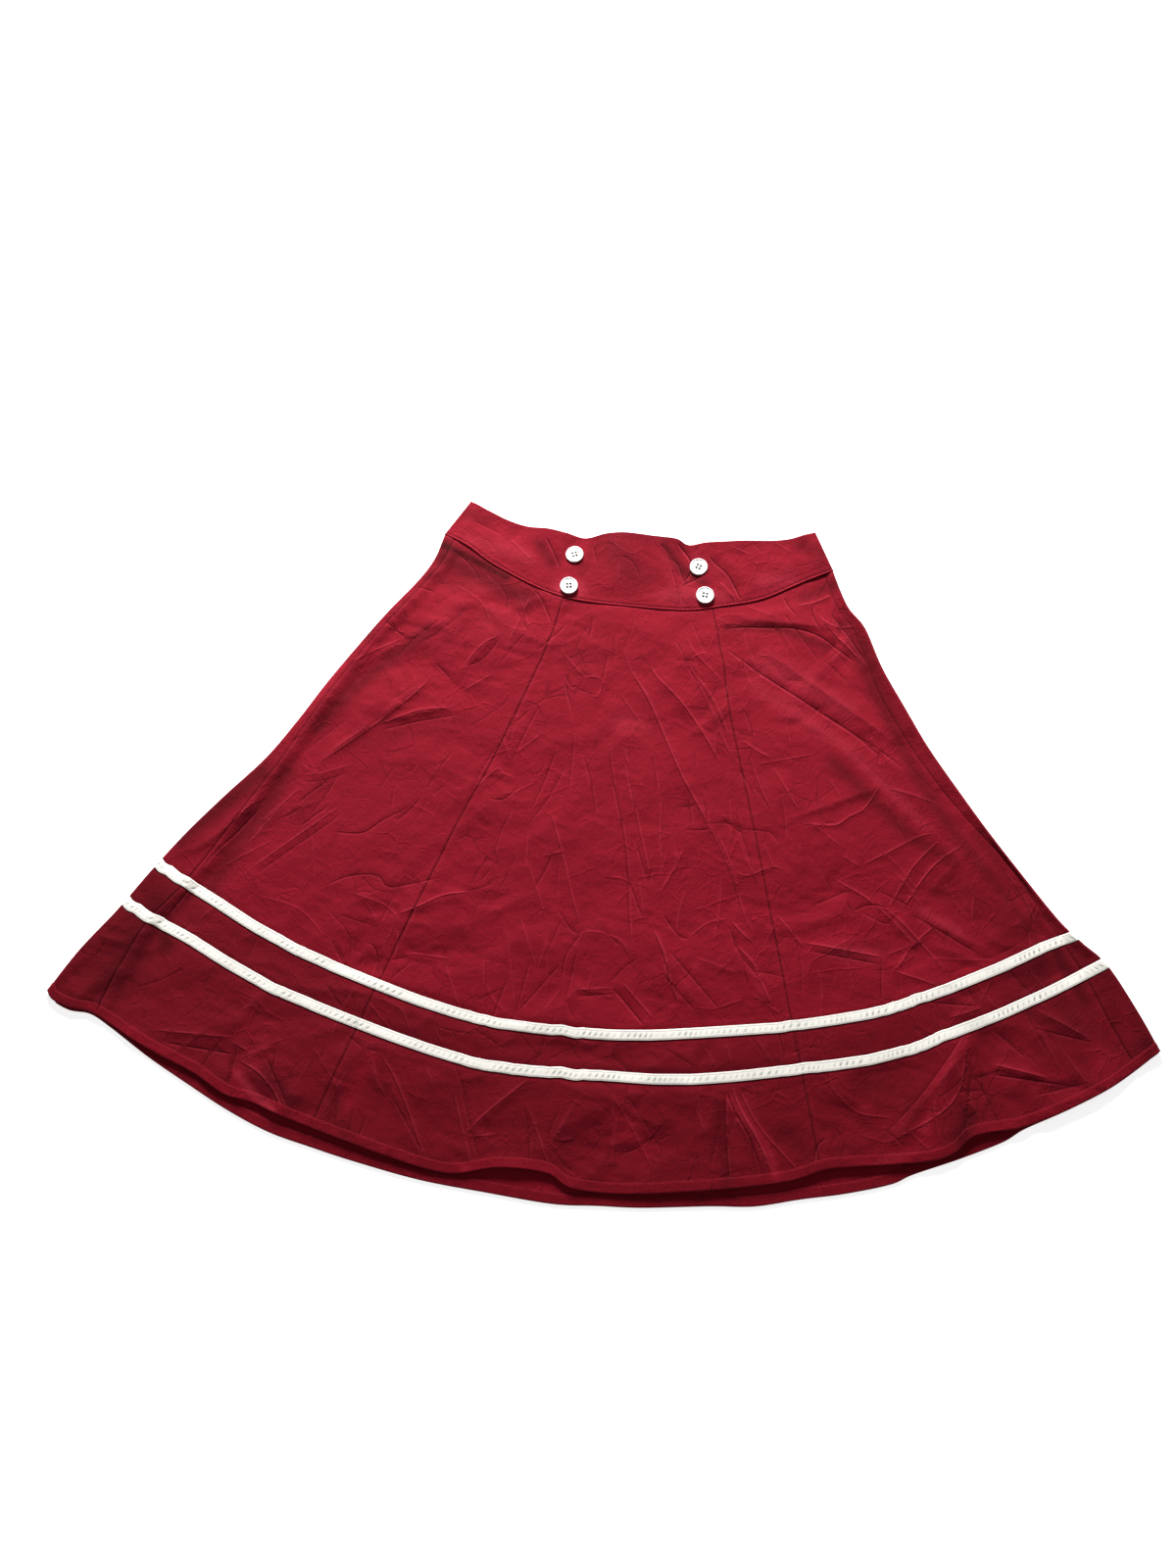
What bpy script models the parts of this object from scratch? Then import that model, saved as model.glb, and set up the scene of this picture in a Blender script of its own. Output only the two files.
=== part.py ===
"""A-line skirt, laid flat, front upward, with its waist towards +Y.

The skirt has a shaped waistband with four buttons, a front of three gores and a back of two halves.
The back halves turn round the side folds and meet the front on top, a little inside each fold.
Two tapes run round the skirt above the hem.

Every sheet of cloth is a grid. Its columns run from waist to hem and its rows from side to side.
Plan points come from the outlines below, heights from the swells and folds. Sizes are millimetres.
"""
import math

import bmesh
import bpy
import numpy as np
from mathutils import Vector

MM = 0.001

# Thicknesses and gaps
CLOTH = 1.2
BAND_CLOTH = 1.6
TAPE_THICKNESS = 1.0
HEM_EXTRA = 0.7
GAP = 0.3

# Widths and depths
TAPE_WIDTH = 10.0
HEM_DEPTH = 9.0
HEM_STEP = 1.0
WAIST_WIDTH = 400.0
BACK_BAND_INSET = 1.5

# Buttons
BUTTON_DIAMETER = 18.0
BUTTON_HEIGHT = 3.0
BUTTON_RIM = 2.2
BUTTON_DISH = 0.8
BUTTON_HOLE_DIAMETER = 1.8
BUTTON_HOLE_SPACING = 3.4
BUTTON_SIDES = 22

# Grid of the skirt: rows from the waist seam to each line below it, columns of each stretch, and
# how finely lines are drawn and crossed
ROWS_TO_TAPES = 17
ROWS_BETWEEN_TAPES = 2
ROWS_TO_HEM = 6
SIDE_GORE_COLUMNS = 15
CENTRE_GORE_COLUMNS = 16
WRAP_COLUMNS = 2
TURN_STEPS = 5
BACK_COLUMNS = 9
BAND_ROWS = 5
LINE_POINTS = 61
HALVINGS = 40
CURVE_STEPS = 8
BAND_COLUMNS = 30

# Outlines, seen from above, as points (x, y)
LEFT_FOLD = (
    (-196.5, 300), (-204, 272), (-218, 246.6), (-245.5, 209), (-271.5, 169), (-296.3, 129), (-318.7, 89.2),
    (-344.2, 48.7), (-377.9, 8.3), (-409.2, -31.3), (-436.9, -71.4), (-462.3, -111.1), (-490.7, -150.8),
    (-513.2, -190.5),
)
RIGHT_FOLD = (
    (204.5, 290), (212, 270), (221.7, 249.8), (238, 230), (255.3, 189.7), (278.1, 149.5), (301.6, 109.7),
    (330, 69.3), (359, 30), (391.2, -10.6), (424.3, -50.7), (446.2, -70.9), (469, -90), (495.7, -130.8),
    (514.5, -165),
)
WAIST_SEAM = (
    (-196.5, 300), (-171, 288), (-144, 270), (-102, 250), (-75, 241), (-47, 236), (1, 234),
    (56, 234), (91, 241), (132, 252), (173, 274), (204.5, 290),
)
FRONT_HEM = (
    (-513.2, -190.5), (-506, -199), (-488, -205), (-470, -207), (-450, -216), (-425, -229),
    (-400, -240), (-365, -254), (-335, -270), (-310, -275), (-270, -288), (-216, -303), (-181, -312),
    (-145, -320), (-118, -322), (-81, -314), (-38, -315), (-15, -326), (26, -328), (79, -322.5),
    (142, -313), (183, -304), (211, -293), (240, -288), (300, -279), (325, -270), (345, -253),
    (388, -242), (430, -223), (470, -200), (505, -173), (514.5, -165),
)
BACK_HEM = (
    (-513.2, -190.5), (-508, -199), (-490, -207), (-470, -209), (-450, -219), (-410, -243),
    (-370, -264), (-330, -284), (-290, -300), (-250, -310), (-210, -319), (-150, -330), (-90, -336),
    (-30, -341), (10, -339.5), (50, -338), (110, -332), (150, -329), (190, -320), (230, -312),
    (270, -301), (290, -291), (330, -275), (370, -257), (390, -244), (430, -224), (470, -201),
    (505, -174), (514.5, -165),
)
BAND_TOP = (
    (-173, 340), (-150, 328.8), (-130, 320), (-110, 315), (-90, 314.5), (-70, 310.8), (-50, 306.5),
    (-30, 313.5), (-10, 316.2), (20, 314.5), (42, 313.5), (56, 307.5), (75, 312), (110, 316.5), (150, 320.2),
    (184.5, 332.5),
)

# Seams and tape centre lines on the top of the skirt
LEFT_SIDE_SEAM = (
    (-185, 298), (-194, 272), (-210, 245), (-236, 208), (-260, 172), (-293, 116), (-329, 47),
    (-356, -2), (-402, -82), (-429, -117), (-452, -170), (-466, -212),
)
LEFT_FRONT_SEAM = ((-69, 236), (-78, 194), (-99, 129), (-133, 36), (-149, 1), (-206, -157), (-254, -297))
RIGHT_FRONT_SEAM = ((83, 240), (94, 194), (106, 128), (127.5, 41), (142, -19), (160, -95), (208, -297))
RIGHT_SIDE_SEAM = (
    (195, 290), (202, 268), (212, 247), (228, 224), (244, 186), (258, 152), (302, 84), (338, 41),
    (376, 1), (411, -48), (448, -102), (468, -140), (495, -188),
)
UPPER_TAPE = (
    (-432, -62.5), (-405, -79), (-370, -96), (-330, -117), (-290, -134.3), (-250, -148.6), (-210, -161),
    (-170, -172.8), (-130, -182), (-90, -188.3), (-50, -190.2), (10, -190.5), (50, -187.7), (90, -182.5),
    (130, -176.8), (170, -170.8), (210, -162.2), (250, -152.3), (290, -137.3), (330, -119.3), (370, -100),
    (410, -78), (439, -65),
)
LOWER_TAPE = (
    (-456, -101), (-430, -116.5), (-390, -132.3), (-350, -152.5), (-310, -170.3), (-270, -183.6),
    (-230, -195.5), (-190, -206.8), (-150, -216.9), (-110, -225), (-70, -228.3), (-30, -228), (10, -226.8),
    (50, -226.8), (90, -223.9), (130, -217.8), (170, -210), (210, -202.6), (250, -193.7), (290, -180),
    (330, -161), (370, -142.5), (410, -121.5), (450, -99), (467, -88),
)

# Roundness of the side folds and of the panels beside them, from waist (0) to hem (1)
#    down, left roll, right roll, left panel, right panel
SIDE_SHAPE = (
    (0.00, 0.8, 0.8, 0.9, 0.9),
    (0.08, 2.2, 1.9, 2.2, 3.0),
    (0.25, 3.4, 2.6, 3.0, 4.0),
    (0.50, 3.6, 2.7, 3.0, 3.9),
    (0.75, 3.3, 2.6, 2.6, 3.5),
    (0.90, 2.7, 2.3, 2.2, 2.8),
    (1.00, 1.4, 1.3, 1.4, 1.4),
)
# Width beside each side seam over which the front rises, width over which the left roll falls inside
# its seam, and the left roll's share of its height at the fold itself
LEFT_RISE = 48.0
RIGHT_RISE = 28.0
SEAM_FALL = 15.0
FOLD_SHARE = 0.35

# Where the folds die out: beside the side folds, below the waist seam, and at each fold's two ends
SIDE_FADE = 30.0
WAIST_FADE = 0.035
END_FADE = 0.25
# The top layer rises a little above the hem of the layer under it
HEM_ROOM_START = 0.93
HEM_ROOM_LENGTH = 0.04
SOFTNESS = 0.2

# Broad swells of the skirt's front: centre x, y, half-lengths along x and y, height
SWELLS = (
    (-185, 215, 45, 35, 1.4),
    (150, 243, 60, 14, 2.0),
    (0, 120, 90, 110, -0.7),
    (-40, -60, 110, 60, -0.5),
    (230, 10, 60, 60, 1.0),
    (-60, -318, 42, 22, 1.9),
    (-300, -262, 40, 24, 1.3),
    (300, -262, 44, 30, 1.6),
    (120, -310, 60, 26, 0.9),
)

# Largest folds and creases of the skirt's front: from x, y to x, y, half-width, height
FOLDS = (
    (108, 196, 285, 80, 11, 3.6),
    (95, 232, 205, 232, 9, 2.4),
    (196, 234, 246, 180, 9, 2.2),
    (100, 218, 205, 214, 9, -1.4),
    (-190, 282, -105, 248, 13, -1.5),
    (-106, 252, -76, 206, 9, -1.2),
    (-292, 132, -218, 184, 10, 2.0),
    (-252, 204, -214, 176, 8, -1.4),
    (-172, 140, -126, 200, 10, 1.4),
    (-246, 84, -165, 114, 9, 2.6),
    (-245, 70, -165, 92, 10, -1.2),
    (-300, 40, -186, 148, 8, 1.6),
    (-408, -62, -330, 18, 9, 1.7),
    (-396, -74, -345, 0, 9, -1.1),
    (-350, -42, -310, 12, 8, 1.3),
    (-306, -38, -252, 22, 9, -1.1),
    (0, 186, 112, -24, 9, 1.3),
    (24, 184, 108, 66, 9, 1.1),
    (-68, 172, -18, 18, 9, 1.0),
    (160, 22, 262, 68, 9, 1.7),
    (282, -58, 344, 16, 9, 2.1),
    (276, -44, 362, -92, 9, 1.9),
    (262, -112, 330, -122, 9, 1.3),
    (170, -90, 268, -101, 8, 1.3),
    (112, -92, 160, -160, 9, 1.7),
    (38, -82, 104, -180, 10, 1.8),
    (-30, -98, 20, -102, 9, 1.2),
    (12, -146, 46, -184, 8, -1.2),
    (-200, -96, -126, -68, 9, 1.2),
    (350, -160, 258, -276, 14, 2.8),
    (352, -190, 420, -200, 9, 1.7),
    (396, -212, 452, -196, 9, -1.1),
    (392, -134, 458, -162, 8, 1.3),
    (114, -222, 168, -308, 9, 2.1),
    (-330, -232, -268, -292, 10, 2.2),
    (-402, -219, -330, -220, 8, 1.1),
    (-200, -222, -142, -322, 9, 1.5),
    (-58, -234, -118, -294, 9, 1.2),
    (-110, -226, -88, -300, 9, -0.9),
    (206, -212, 262, -250, 9, 1.1),
)

# Folds of the waistband, in the same columns
BAND_FOLDS = (
    (48, 318, 58, 262, 9, -1.7),
    (76, 304, 116, 254, 8, -1.5),
    (18, 322, 50, 240, 8, 0.9),
    (-50, 316, -86, 258, 9, -1.4),
    (-176, 338, -110, 300, 14, -1.2),
    (-150, 292, -96, 276, 14, 1.0),
    (110, 306, 168, 288, 12, 1.1),
    (150, 326, 190, 300, 10, -1.1),
    (-12, 322, -18, 244, 18, 1.1),
)
BAND_SWELL = 1.7
BAND_END = 14.0

# Button centres on the waistband
BUTTONS = (
    ("button_left_upper", -60.6, 286.8),
    ("button_left_lower", -63.7, 251.6),
    ("button_right_upper", 66.7, 283.0),
    ("button_right_lower", 74.6, 251.9),
)

RED = (0.30, 0.012, 0.028)
OFF_WHITE = (0.80, 0.76, 0.70)
BUTTON_WHITE = (0.86, 0.85, 0.83)


# ---------------------------------------------------------------- plan shape

def smooth_curve(points):
    """Curve through the points, as a function of the fraction of its length."""
    knots = np.array(points, float)
    ends = np.vstack((2 * knots[0] - knots[1], knots, 2 * knots[-1] - knots[-2]))
    steps = np.linspace(0, 1, CURVE_STEPS, endpoint=False)[:, None]
    spans = []
    for before, start, end, after in zip(ends, ends[1:], ends[2:], ends[3:]):
        spans.append(0.5 * (2 * start + (end - before) * steps
                            + (2 * before - 5 * start + 4 * end - after) * steps ** 2
                            + (3 * start - before - 3 * end + after) * steps ** 3))
    dense = np.vstack(spans + [knots[-1:]])
    length = np.concatenate(([0], np.cumsum(np.linalg.norm(np.diff(dense, axis=0), axis=1))))
    length /= length[-1]

    def at(fraction):
        return np.stack([np.interp(fraction, length, dense[:, axis]) for axis in (0, 1)], axis=-1)
    return at


def patch(top, bottom, left, right):
    """Plan of a four-sided sheet: (across, down), each from 0 to 1, to a point (x, y)."""
    top, bottom, left, right = (smooth_curve(edge) for edge in (top, bottom, left, right))
    corners = left(0.0), right(0.0), left(1.0), right(1.0)

    def at(across, down):
        across, down = np.broadcast_arrays(np.asarray(across, float), np.asarray(down, float))
        u, v = across[..., None], down[..., None]
        between_ends = (1 - v) * top(across) + v * bottom(across)
        between_sides = (1 - u) * left(down) + u * right(down)
        corner_blend = ((1 - v) * ((1 - u) * corners[0] + u * corners[1])
                        + v * ((1 - u) * corners[2] + u * corners[3]))
        return between_ends + between_sides - corner_blend
    return at


front_plan = patch(WAIST_SEAM, FRONT_HEM, LEFT_FOLD, RIGHT_FOLD)
back_plan = patch(WAIST_SEAM, BACK_HEM, LEFT_FOLD, RIGHT_FOLD)
band_plan = patch(BAND_TOP, WAIST_SEAM, (BAND_TOP[0], WAIST_SEAM[0]), (BAND_TOP[-1], WAIST_SEAM[-1]))


def solve(too_far, size):
    """Fraction, for each of size cases, at which too_far changes from false to true."""
    low, high = np.zeros(size), np.ones(size)
    for _ in range(HALVINGS):
        middle = (low + high) / 2
        beyond = too_far(middle)
        high = np.where(beyond, middle, high)
        low = np.where(beyond, low, middle)
    return (low + high) / 2


def line_down(line):
    """How far down the skirt's front a line from side to side lies, for each place across."""
    line = np.array(line, float)
    across = np.linspace(0, 1, LINE_POINTS)

    def below(down):
        point = front_plan(across, down)
        return point[:, 1] < np.interp(point[:, 0], line[:, 0], line[:, 1])
    down = solve(below, len(across))
    return lambda place: np.interp(place, across, down)


upper_tape_down = line_down(UPPER_TAPE)
lower_tape_down = line_down(LOWER_TAPE)


def row_lines(across):
    """Fractions down the skirt of all rows, at one or more places across it."""
    across = np.asarray(across, float)
    column = np.linalg.norm(front_plan(across, 1.0) - front_plan(across, 0.0), axis=-1)
    upper, lower = upper_tape_down(across), lower_tape_down(across)
    half_tape = TAPE_WIDTH / 2 / column
    stops = (
        (GAP / 2 / column, 0),
        (upper - half_tape, ROWS_TO_TAPES),
        (upper + half_tape, 1),
        (lower - half_tape, ROWS_BETWEEN_TAPES),
        (lower + half_tape, 1),
        (1 - (HEM_DEPTH + HEM_STEP) / column, ROWS_TO_HEM),
        (1 - HEM_DEPTH / column, 1),
        (np.ones_like(column), 1),
    )
    rows = [stops[0][0]]
    for (start, _), (stop, count) in zip(stops, stops[1:]):
        rows += [start + (stop - start) * step / count for step in range(1, count + 1)]
    return np.array(rows)


UPPER_TAPE_ROW = ROWS_TO_TAPES
LOWER_TAPE_ROW = UPPER_TAPE_ROW + 1 + ROWS_BETWEEN_TAPES
HEM_ROW = LOWER_TAPE_ROW + 1 + ROWS_TO_HEM + 1
ROWS = HEM_ROW + 2


def seam_across(seam):
    """Place across the front, in each row, where a seam from waist to hem crosses it."""
    seam = np.array(seam, float)[::-1]

    def right_of(across):
        down = row_lines(across)[np.arange(ROWS), np.arange(ROWS)]
        point = front_plan(across, down)
        return point[:, 0] > np.interp(point[:, 1], seam[:, 1], seam[:, 0])
    return solve(right_of, ROWS)


def row_widths():
    """Length of each row in millimetres, beside the left and beside the right fold."""
    nudge = 0.01
    widths = []
    for edge, inside in ((0.0, nudge), (1.0, 1 - nudge)):
        down = row_lines(edge)
        step = front_plan(inside, down) - front_plan(edge, down)
        widths.append(np.linalg.norm(step, axis=1) / nudge)
    return widths


left_seam, left_front, right_front, right_seam = (
    seam_across(seam) for seam in (LEFT_SIDE_SEAM, LEFT_FRONT_SEAM, RIGHT_FRONT_SEAM, RIGHT_SIDE_SEAM))
left_width, right_width = row_widths()
side_table = np.array(SIDE_SHAPE)
row_down = row_lines(0.5)


# ---------------------------------------------------------------- heights

def ease(x):
    """0 below 0, 1 above 1, and a smooth rise between."""
    x = np.clip(x, 0, 1)
    return x * x * (3 - 2 * x)


def fold_height(x, y, folds):
    """Sum of the folds: each is highest along its line and fades at both ends."""
    total = np.zeros_like(x)
    for x0, y0, x1, y1, width, height in folds:
        length_squared = (x1 - x0) ** 2 + (y1 - y0) ** 2
        along = ((x - x0) * (x1 - x0) + (y - y0) * (y1 - y0)) / length_squared
        aside = ((x - x0) * (y1 - y0) - (y - y0) * (x1 - x0)) / math.sqrt(length_squared)
        fade = ease(along / END_FADE) * ease((1 - along) / END_FADE)
        total += height * fade * np.exp(-(aside / width) ** 2)
    return total


def swell_height(x, y):
    """Sum of the broad swells."""
    total = np.zeros_like(x)
    for cx, cy, rx, ry, height in SWELLS:
        total += height * np.exp(-((x - cx) / rx) ** 2 - ((y - cy) / ry) ** 2)
    return total


def soft_floor(height):
    """Height kept above zero, with a soft bend where it nears it."""
    return 0.5 * (height + np.sqrt(height ** 2 + SOFTNESS))


def skirt_lift(rows, across, points):
    """Height of the underside of the top layer, in the given rows at the given places."""
    down = row_down[rows]
    from_left, from_right = across * left_width[rows], (1 - across) * right_width[rows]
    left_inset = left_seam[rows] * left_width[rows]
    right_inset = (1 - right_seam[rows]) * right_width[rows]
    left_roll, right_roll, left_panel, right_panel = (
        np.interp(down, side_table[:, 0], side_table[:, column]) for column in (1, 2, 3, 4))
    panel = left_panel + (right_panel - left_panel) * across
    rise = ease((from_left - left_inset) / LEFT_RISE) * ease((from_right - right_inset) / RIGHT_RISE)
    climb = FOLD_SHARE + (1 - FOLD_SHARE) * np.clip(from_left / left_inset, 0, 1)
    roll = (left_roll * climb * (1 - ease((from_left - left_inset) / SEAM_FALL))
            + right_roll * (1 - ease(from_right / right_inset)))
    x, y = points[..., 0], points[..., 1]
    inside = ease(from_left / SIDE_FADE) * ease(from_right / SIDE_FADE) * ease(down / WAIST_FADE)
    folds = fold_height(x, y, FOLDS) + swell_height(x, y)
    hem_room = HEM_EXTRA * ease((down - HEM_ROOM_START) / HEM_ROOM_LENGTH)
    return CLOTH + GAP + hem_room + roll + soft_floor(panel * rise + folds * inside)


def band_lift(across, points):
    """Height of the underside of the front waistband."""
    from_end = np.minimum(across, 1 - across) * WAIST_WIDTH
    folds = fold_height(points[..., 0], points[..., 1], BAND_FOLDS)
    return BAND_CLOTH + GAP + ease(from_end / BAND_END) * soft_floor(BAND_SWELL + folds)


def wall_rise(points, height, thickness):
    """Vertical depth of a wall of the given thickness, more where the sheet slopes."""
    steepness = np.zeros_like(height)
    for axis in (0, 1):
        run = np.linalg.norm(np.diff(points, axis=axis), axis=-1)
        slope = np.diff(height, axis=axis) / np.maximum(run, 1.0)
        first, last = (slope.take([0], axis), slope.take([-1], axis))
        steepness += ((np.concatenate((first, slope), axis) + np.concatenate((slope, last), axis)) / 2) ** 2
    return thickness * np.sqrt(1 + steepness)


def cloth_thickness(rows):
    """Thickness in each row: the turned-up hem is thicker than the rest."""
    return CLOTH + np.where(np.asarray(rows) >= HEM_ROW, HEM_EXTRA, 0.0)


# ---------------------------------------------------------------- solids

def finish(name, bm, finish_material):
    """Object of a finished mesh, smooth but for its rims."""
    bmesh.ops.recalc_face_normals(bm, faces=bm.faces)
    mesh = bpy.data.meshes.new(name)
    bm.to_mesh(mesh)
    bm.free()
    mesh.shade_smooth()
    mesh.set_sharp_from_angle(angle=math.radians(40))
    mesh.materials.append(finish_material)
    made = bpy.data.objects.new(name, mesh)
    bpy.context.scene.collection.objects.link(made)
    return made


def cloth(name, under, over, finish_material):
    """Closed wall of cloth: a sheet on the under points, extruded to the over points."""
    bm = bmesh.new()
    place = bm.verts.layers.int.new("place")
    count_down, count_across = under.shape[:2]
    grid = []
    for index, point in enumerate(under.reshape(-1, 3) * MM):
        vertex = bm.verts.new(point)
        vertex[place] = index
        grid.append(vertex)
    for row in range(count_down - 1):
        for column in range(count_across - 1):
            a = row * count_across + column
            b, d = a + 1, a + count_across
            bm.faces.new((grid[a], grid[b], grid[d + 1]))
            bm.faces.new((grid[a], grid[d + 1], grid[d]))
    raised = bmesh.ops.extrude_face_region(bm, geom=bm.faces[:], use_keep_orig=True)
    targets = over.reshape(-1, 3) * MM
    for part in raised["geom"]:
        if isinstance(part, bmesh.types.BMVert):
            part.co = targets[part[place]]
    return finish(name, bm, finish_material)


def raise_to(points, height):
    """Plan points with their heights."""
    return np.concatenate((points, height[..., None]), axis=-1)


def top_sheet(start, stop, columns):
    """Under and over points of the skirt's top layer between two seams, in all rows."""
    share = np.linspace(0, 1, columns + 1)
    across = start[:, None] * (1 - share) + stop[:, None] * share
    rows = np.broadcast_to(np.arange(ROWS)[:, None], across.shape)
    down = np.take_along_axis(row_lines(across), rows[None], axis=0)[0]
    points = front_plan(across, down)
    lift = skirt_lift(rows, across, points)
    thickness = cloth_thickness(rows)
    return raise_to(points, lift), raise_to(points, lift + wall_rise(points, lift, thickness))


def flat_places():
    """Places across the back from its centre out to the last column before the fold."""
    centre = 0.5 - GAP / 2 / WAIST_WIDTH
    return np.linspace(centre, 0, BACK_COLUMNS + 1)[:-1]


def back_sheet(seam, width, side):
    """Under and over points of one back half, from the centre, round the fold, to its seam.

    Across each row the wall is drawn in its own section: distance from the fold, and height.
    """
    under, over = [], []
    for row in range(ROWS):
        thickness = float(cloth_thickness(row))
        scale = width[row]
        inset = (seam[row] if side < 0 else 1 - seam[row]) * scale - GAP / 2
        section = []
        fold_top = fold_lift(row, 1.0, side)
        reach = (fold_top + thickness) / 2
        middle = (fold_top + thickness) / 2
        radius = middle - thickness / 2
        for across in flat_places():
            section.append((across * scale, thickness / 2, 0.0))
        for step in range(TURN_STEPS + 1):
            angle = math.pi * step / TURN_STEPS
            section.append((reach - (reach - thickness / 2) * math.sin(angle),
                            middle - radius * math.cos(angle), step / TURN_STEPS))
        for step in range(1, WRAP_COLUMNS + 1):
            distance = reach + (inset - reach) * step / WRAP_COLUMNS
            section.append((distance, fold_lift(row, distance, side) + thickness / 2, 1.0))
        section = np.array(section)
        line = section[:, :2]
        ahead = np.vstack((line[1:], 2 * line[-1] - line[-2]))
        behind = np.vstack((2 * line[0] - line[1], line[:-1]))
        along = ahead - behind
        along /= np.linalg.norm(along, axis=1)[:, None]
        outward = np.stack((-along[:, 1], along[:, 0]), axis=1) * thickness / 2
        outward[:BACK_COLUMNS] = (0, -thickness / 2)
        for shifted, store in ((line - outward, under), (line + outward, over)):
            across = shifted[:, 0] / scale
            across = across if side < 0 else 1 - across
            down = row_lines(across)[row]
            layer = section[:, 2:]
            plan = (1 - layer) * back_plan(across, down) + layer * front_plan(across, down)
            store.append(raise_to(plan, shifted[:, 1]))
    return np.array(under), np.array(over)


def fold_lift(row, distance, side):
    """Height of the underside of the top layer at a distance from one fold, in one row."""
    width = left_width[row] if side < 0 else right_width[row]
    across = np.array([distance / width if side < 0 else 1 - distance / width])
    rows = np.array([row])
    points = front_plan(across, row_lines(across)[row])
    return float(skirt_lift(rows, across, points)[0])


def tape(name, over, row, finish_material):
    """Tape on a wall: two rows of the wall's outer points, moved out twice."""
    strip = over[row:row + 2]
    normal = np.cross(np.gradient(strip, axis=1), strip[1:] - strip[:1])
    normal /= -np.linalg.norm(normal, axis=-1)[..., None]
    upright = normal[..., 2] > 0.7
    normal[upright] = np.array([0, 0, 1]) / normal[upright][:, 2:]
    under = strip + normal * GAP
    outer = strip + normal * (GAP + TAPE_THICKNESS)
    return cloth(name, under, outer, finish_material)


def band_sheet(across, height_at, top_inset):
    """Under and over points of the waistband at the given places across it."""
    depth = np.linalg.norm(band_plan(across, 1.0) - band_plan(across, 0.0), axis=-1)
    share = np.linspace(0, 1, BAND_ROWS + 1)[:, None]
    down = top_inset / depth + (1 - (top_inset + GAP / 2) / depth) * share
    across = np.broadcast_to(across, down.shape)
    points = band_plan(across, down)
    lift = height_at(across, points)
    return raise_to(points, lift), raise_to(points, lift + wall_rise(points, lift, BAND_CLOTH))


def button(name, x, y, finish_material):
    """Four-hole button with a raised rim and a dished middle, tilted to the band under it."""
    radius = BUTTON_DIAMETER / 2
    dish = BUTTON_HEIGHT - BUTTON_DISH
    profile = (
        (0, 0), (radius - 1.4, 0), (radius - 0.3, 0.7), (radius, BUTTON_HEIGHT * 0.55),
        (radius - 0.5, BUTTON_HEIGHT * 0.9), (radius - BUTTON_RIM / 2, BUTTON_HEIGHT),
        (radius - BUTTON_RIM, dish + BUTTON_DISH / 2), (radius - BUTTON_RIM - 1.6, dish), (0, dish),
    )
    bm = bmesh.new()
    chain = [bm.verts.new((r * MM, 0, z * MM)) for r, z in profile]
    edges = [bm.edges.new(pair) for pair in zip(chain, chain[1:])]
    bmesh.ops.spin(bm, geom=chain + edges, cent=(0, 0, 0), axis=(0, 0, 1), angle=2 * math.pi,
                   steps=BUTTON_SIDES, use_merge=True)
    bmesh.ops.remove_doubles(bm, verts=bm.verts, dist=1e-6)
    made = finish(name, bm, finish_material)
    reach = radius * 0.8
    slope = []
    for dx, dy in ((reach, 0), (0, reach)):
        ahead, behind = band_top_height(x + dx, y + dy), band_top_height(x - dx, y - dy)
        slope.append((ahead - behind) / (2 * reach))
    plane = sum(band_top_height(x + dx, y + dy)
                for dx, dy in ((reach, 0), (-reach, 0), (0, reach), (0, -reach))) / 4
    highest = 0.0
    for step in range(16):
        angle = math.tau * step / 16
        for ring in (0.0, 0.5, 1.0):
            dx, dy = ring * radius * math.cos(angle), ring * radius * math.sin(angle)
            rise = band_top_height(x + dx, y + dy) - plane - slope[0] * dx - slope[1] * dy
            highest = max(highest, rise)
    made.location = (x * MM, y * MM, (plane + highest + 2 * GAP) * MM)
    tilt = Vector((-slope[0], -slope[1], 1)).normalized()
    made.rotation_mode = "QUATERNION"
    made.rotation_quaternion = Vector((0, 0, 1)).rotation_difference(tilt)
    for column in (-1, 1):
        for row in (-1, 1):
            hole = BUTTON_HOLE_SPACING / 2
            drill(made, column * hole, row * hole)
    return made


def drill(made, x, y):
    """Round hole through a button, cut by a hidden cylinder."""
    bm = bmesh.new()
    bmesh.ops.create_cone(bm, cap_ends=True, segments=8, radius1=BUTTON_HOLE_DIAMETER / 2 * MM,
                          radius2=BUTTON_HOLE_DIAMETER / 2 * MM, depth=3 * BUTTON_HEIGHT * MM)
    bmesh.ops.translate(bm, verts=bm.verts, vec=(x * MM, y * MM, 0))
    mesh = bpy.data.meshes.new("hole")
    bm.to_mesh(mesh)
    bm.free()
    cutter = bpy.data.objects.new("hole", mesh)
    bpy.context.scene.collection.objects.link(cutter)
    cutter.parent = made
    cutter.hide_render = True
    cutter.display_type = "WIRE"
    cut = made.modifiers.new("hole", "BOOLEAN")
    cut.object = cutter
    cut.operation = "DIFFERENCE"


def flat_height(across, points):
    """Height of the underside of a piece that rests flat."""
    return np.zeros(points.shape[:-1])


def band_top_height(x, y):
    """Height of the top of the front waistband at a plan point."""
    point = np.array([[x, y]], float)
    across = np.array([(x - WAIST_SEAM[0][0]) / (WAIST_SEAM[-1][0] - WAIST_SEAM[0][0])])
    return float(band_lift(across, point)[0]) + BAND_CLOTH


def material(name, colour, roughness):
    """Principled material of one colour."""
    made = bpy.data.materials.new(name)
    made.use_nodes = True
    shader = made.node_tree.nodes["Principled BSDF"]
    shader.inputs["Base Color"].default_value = (*colour, 1)
    shader.inputs["Roughness"].default_value = roughness
    shader.inputs["Metallic"].default_value = 0.0
    made.diffuse_color = (*colour, 1)
    return made


def clear_scene():
    """Empty the scene."""
    for old in list(bpy.data.objects):
        bpy.data.objects.remove(old, do_unlink=True)


# ---------------------------------------------------------------- the skirt

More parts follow.
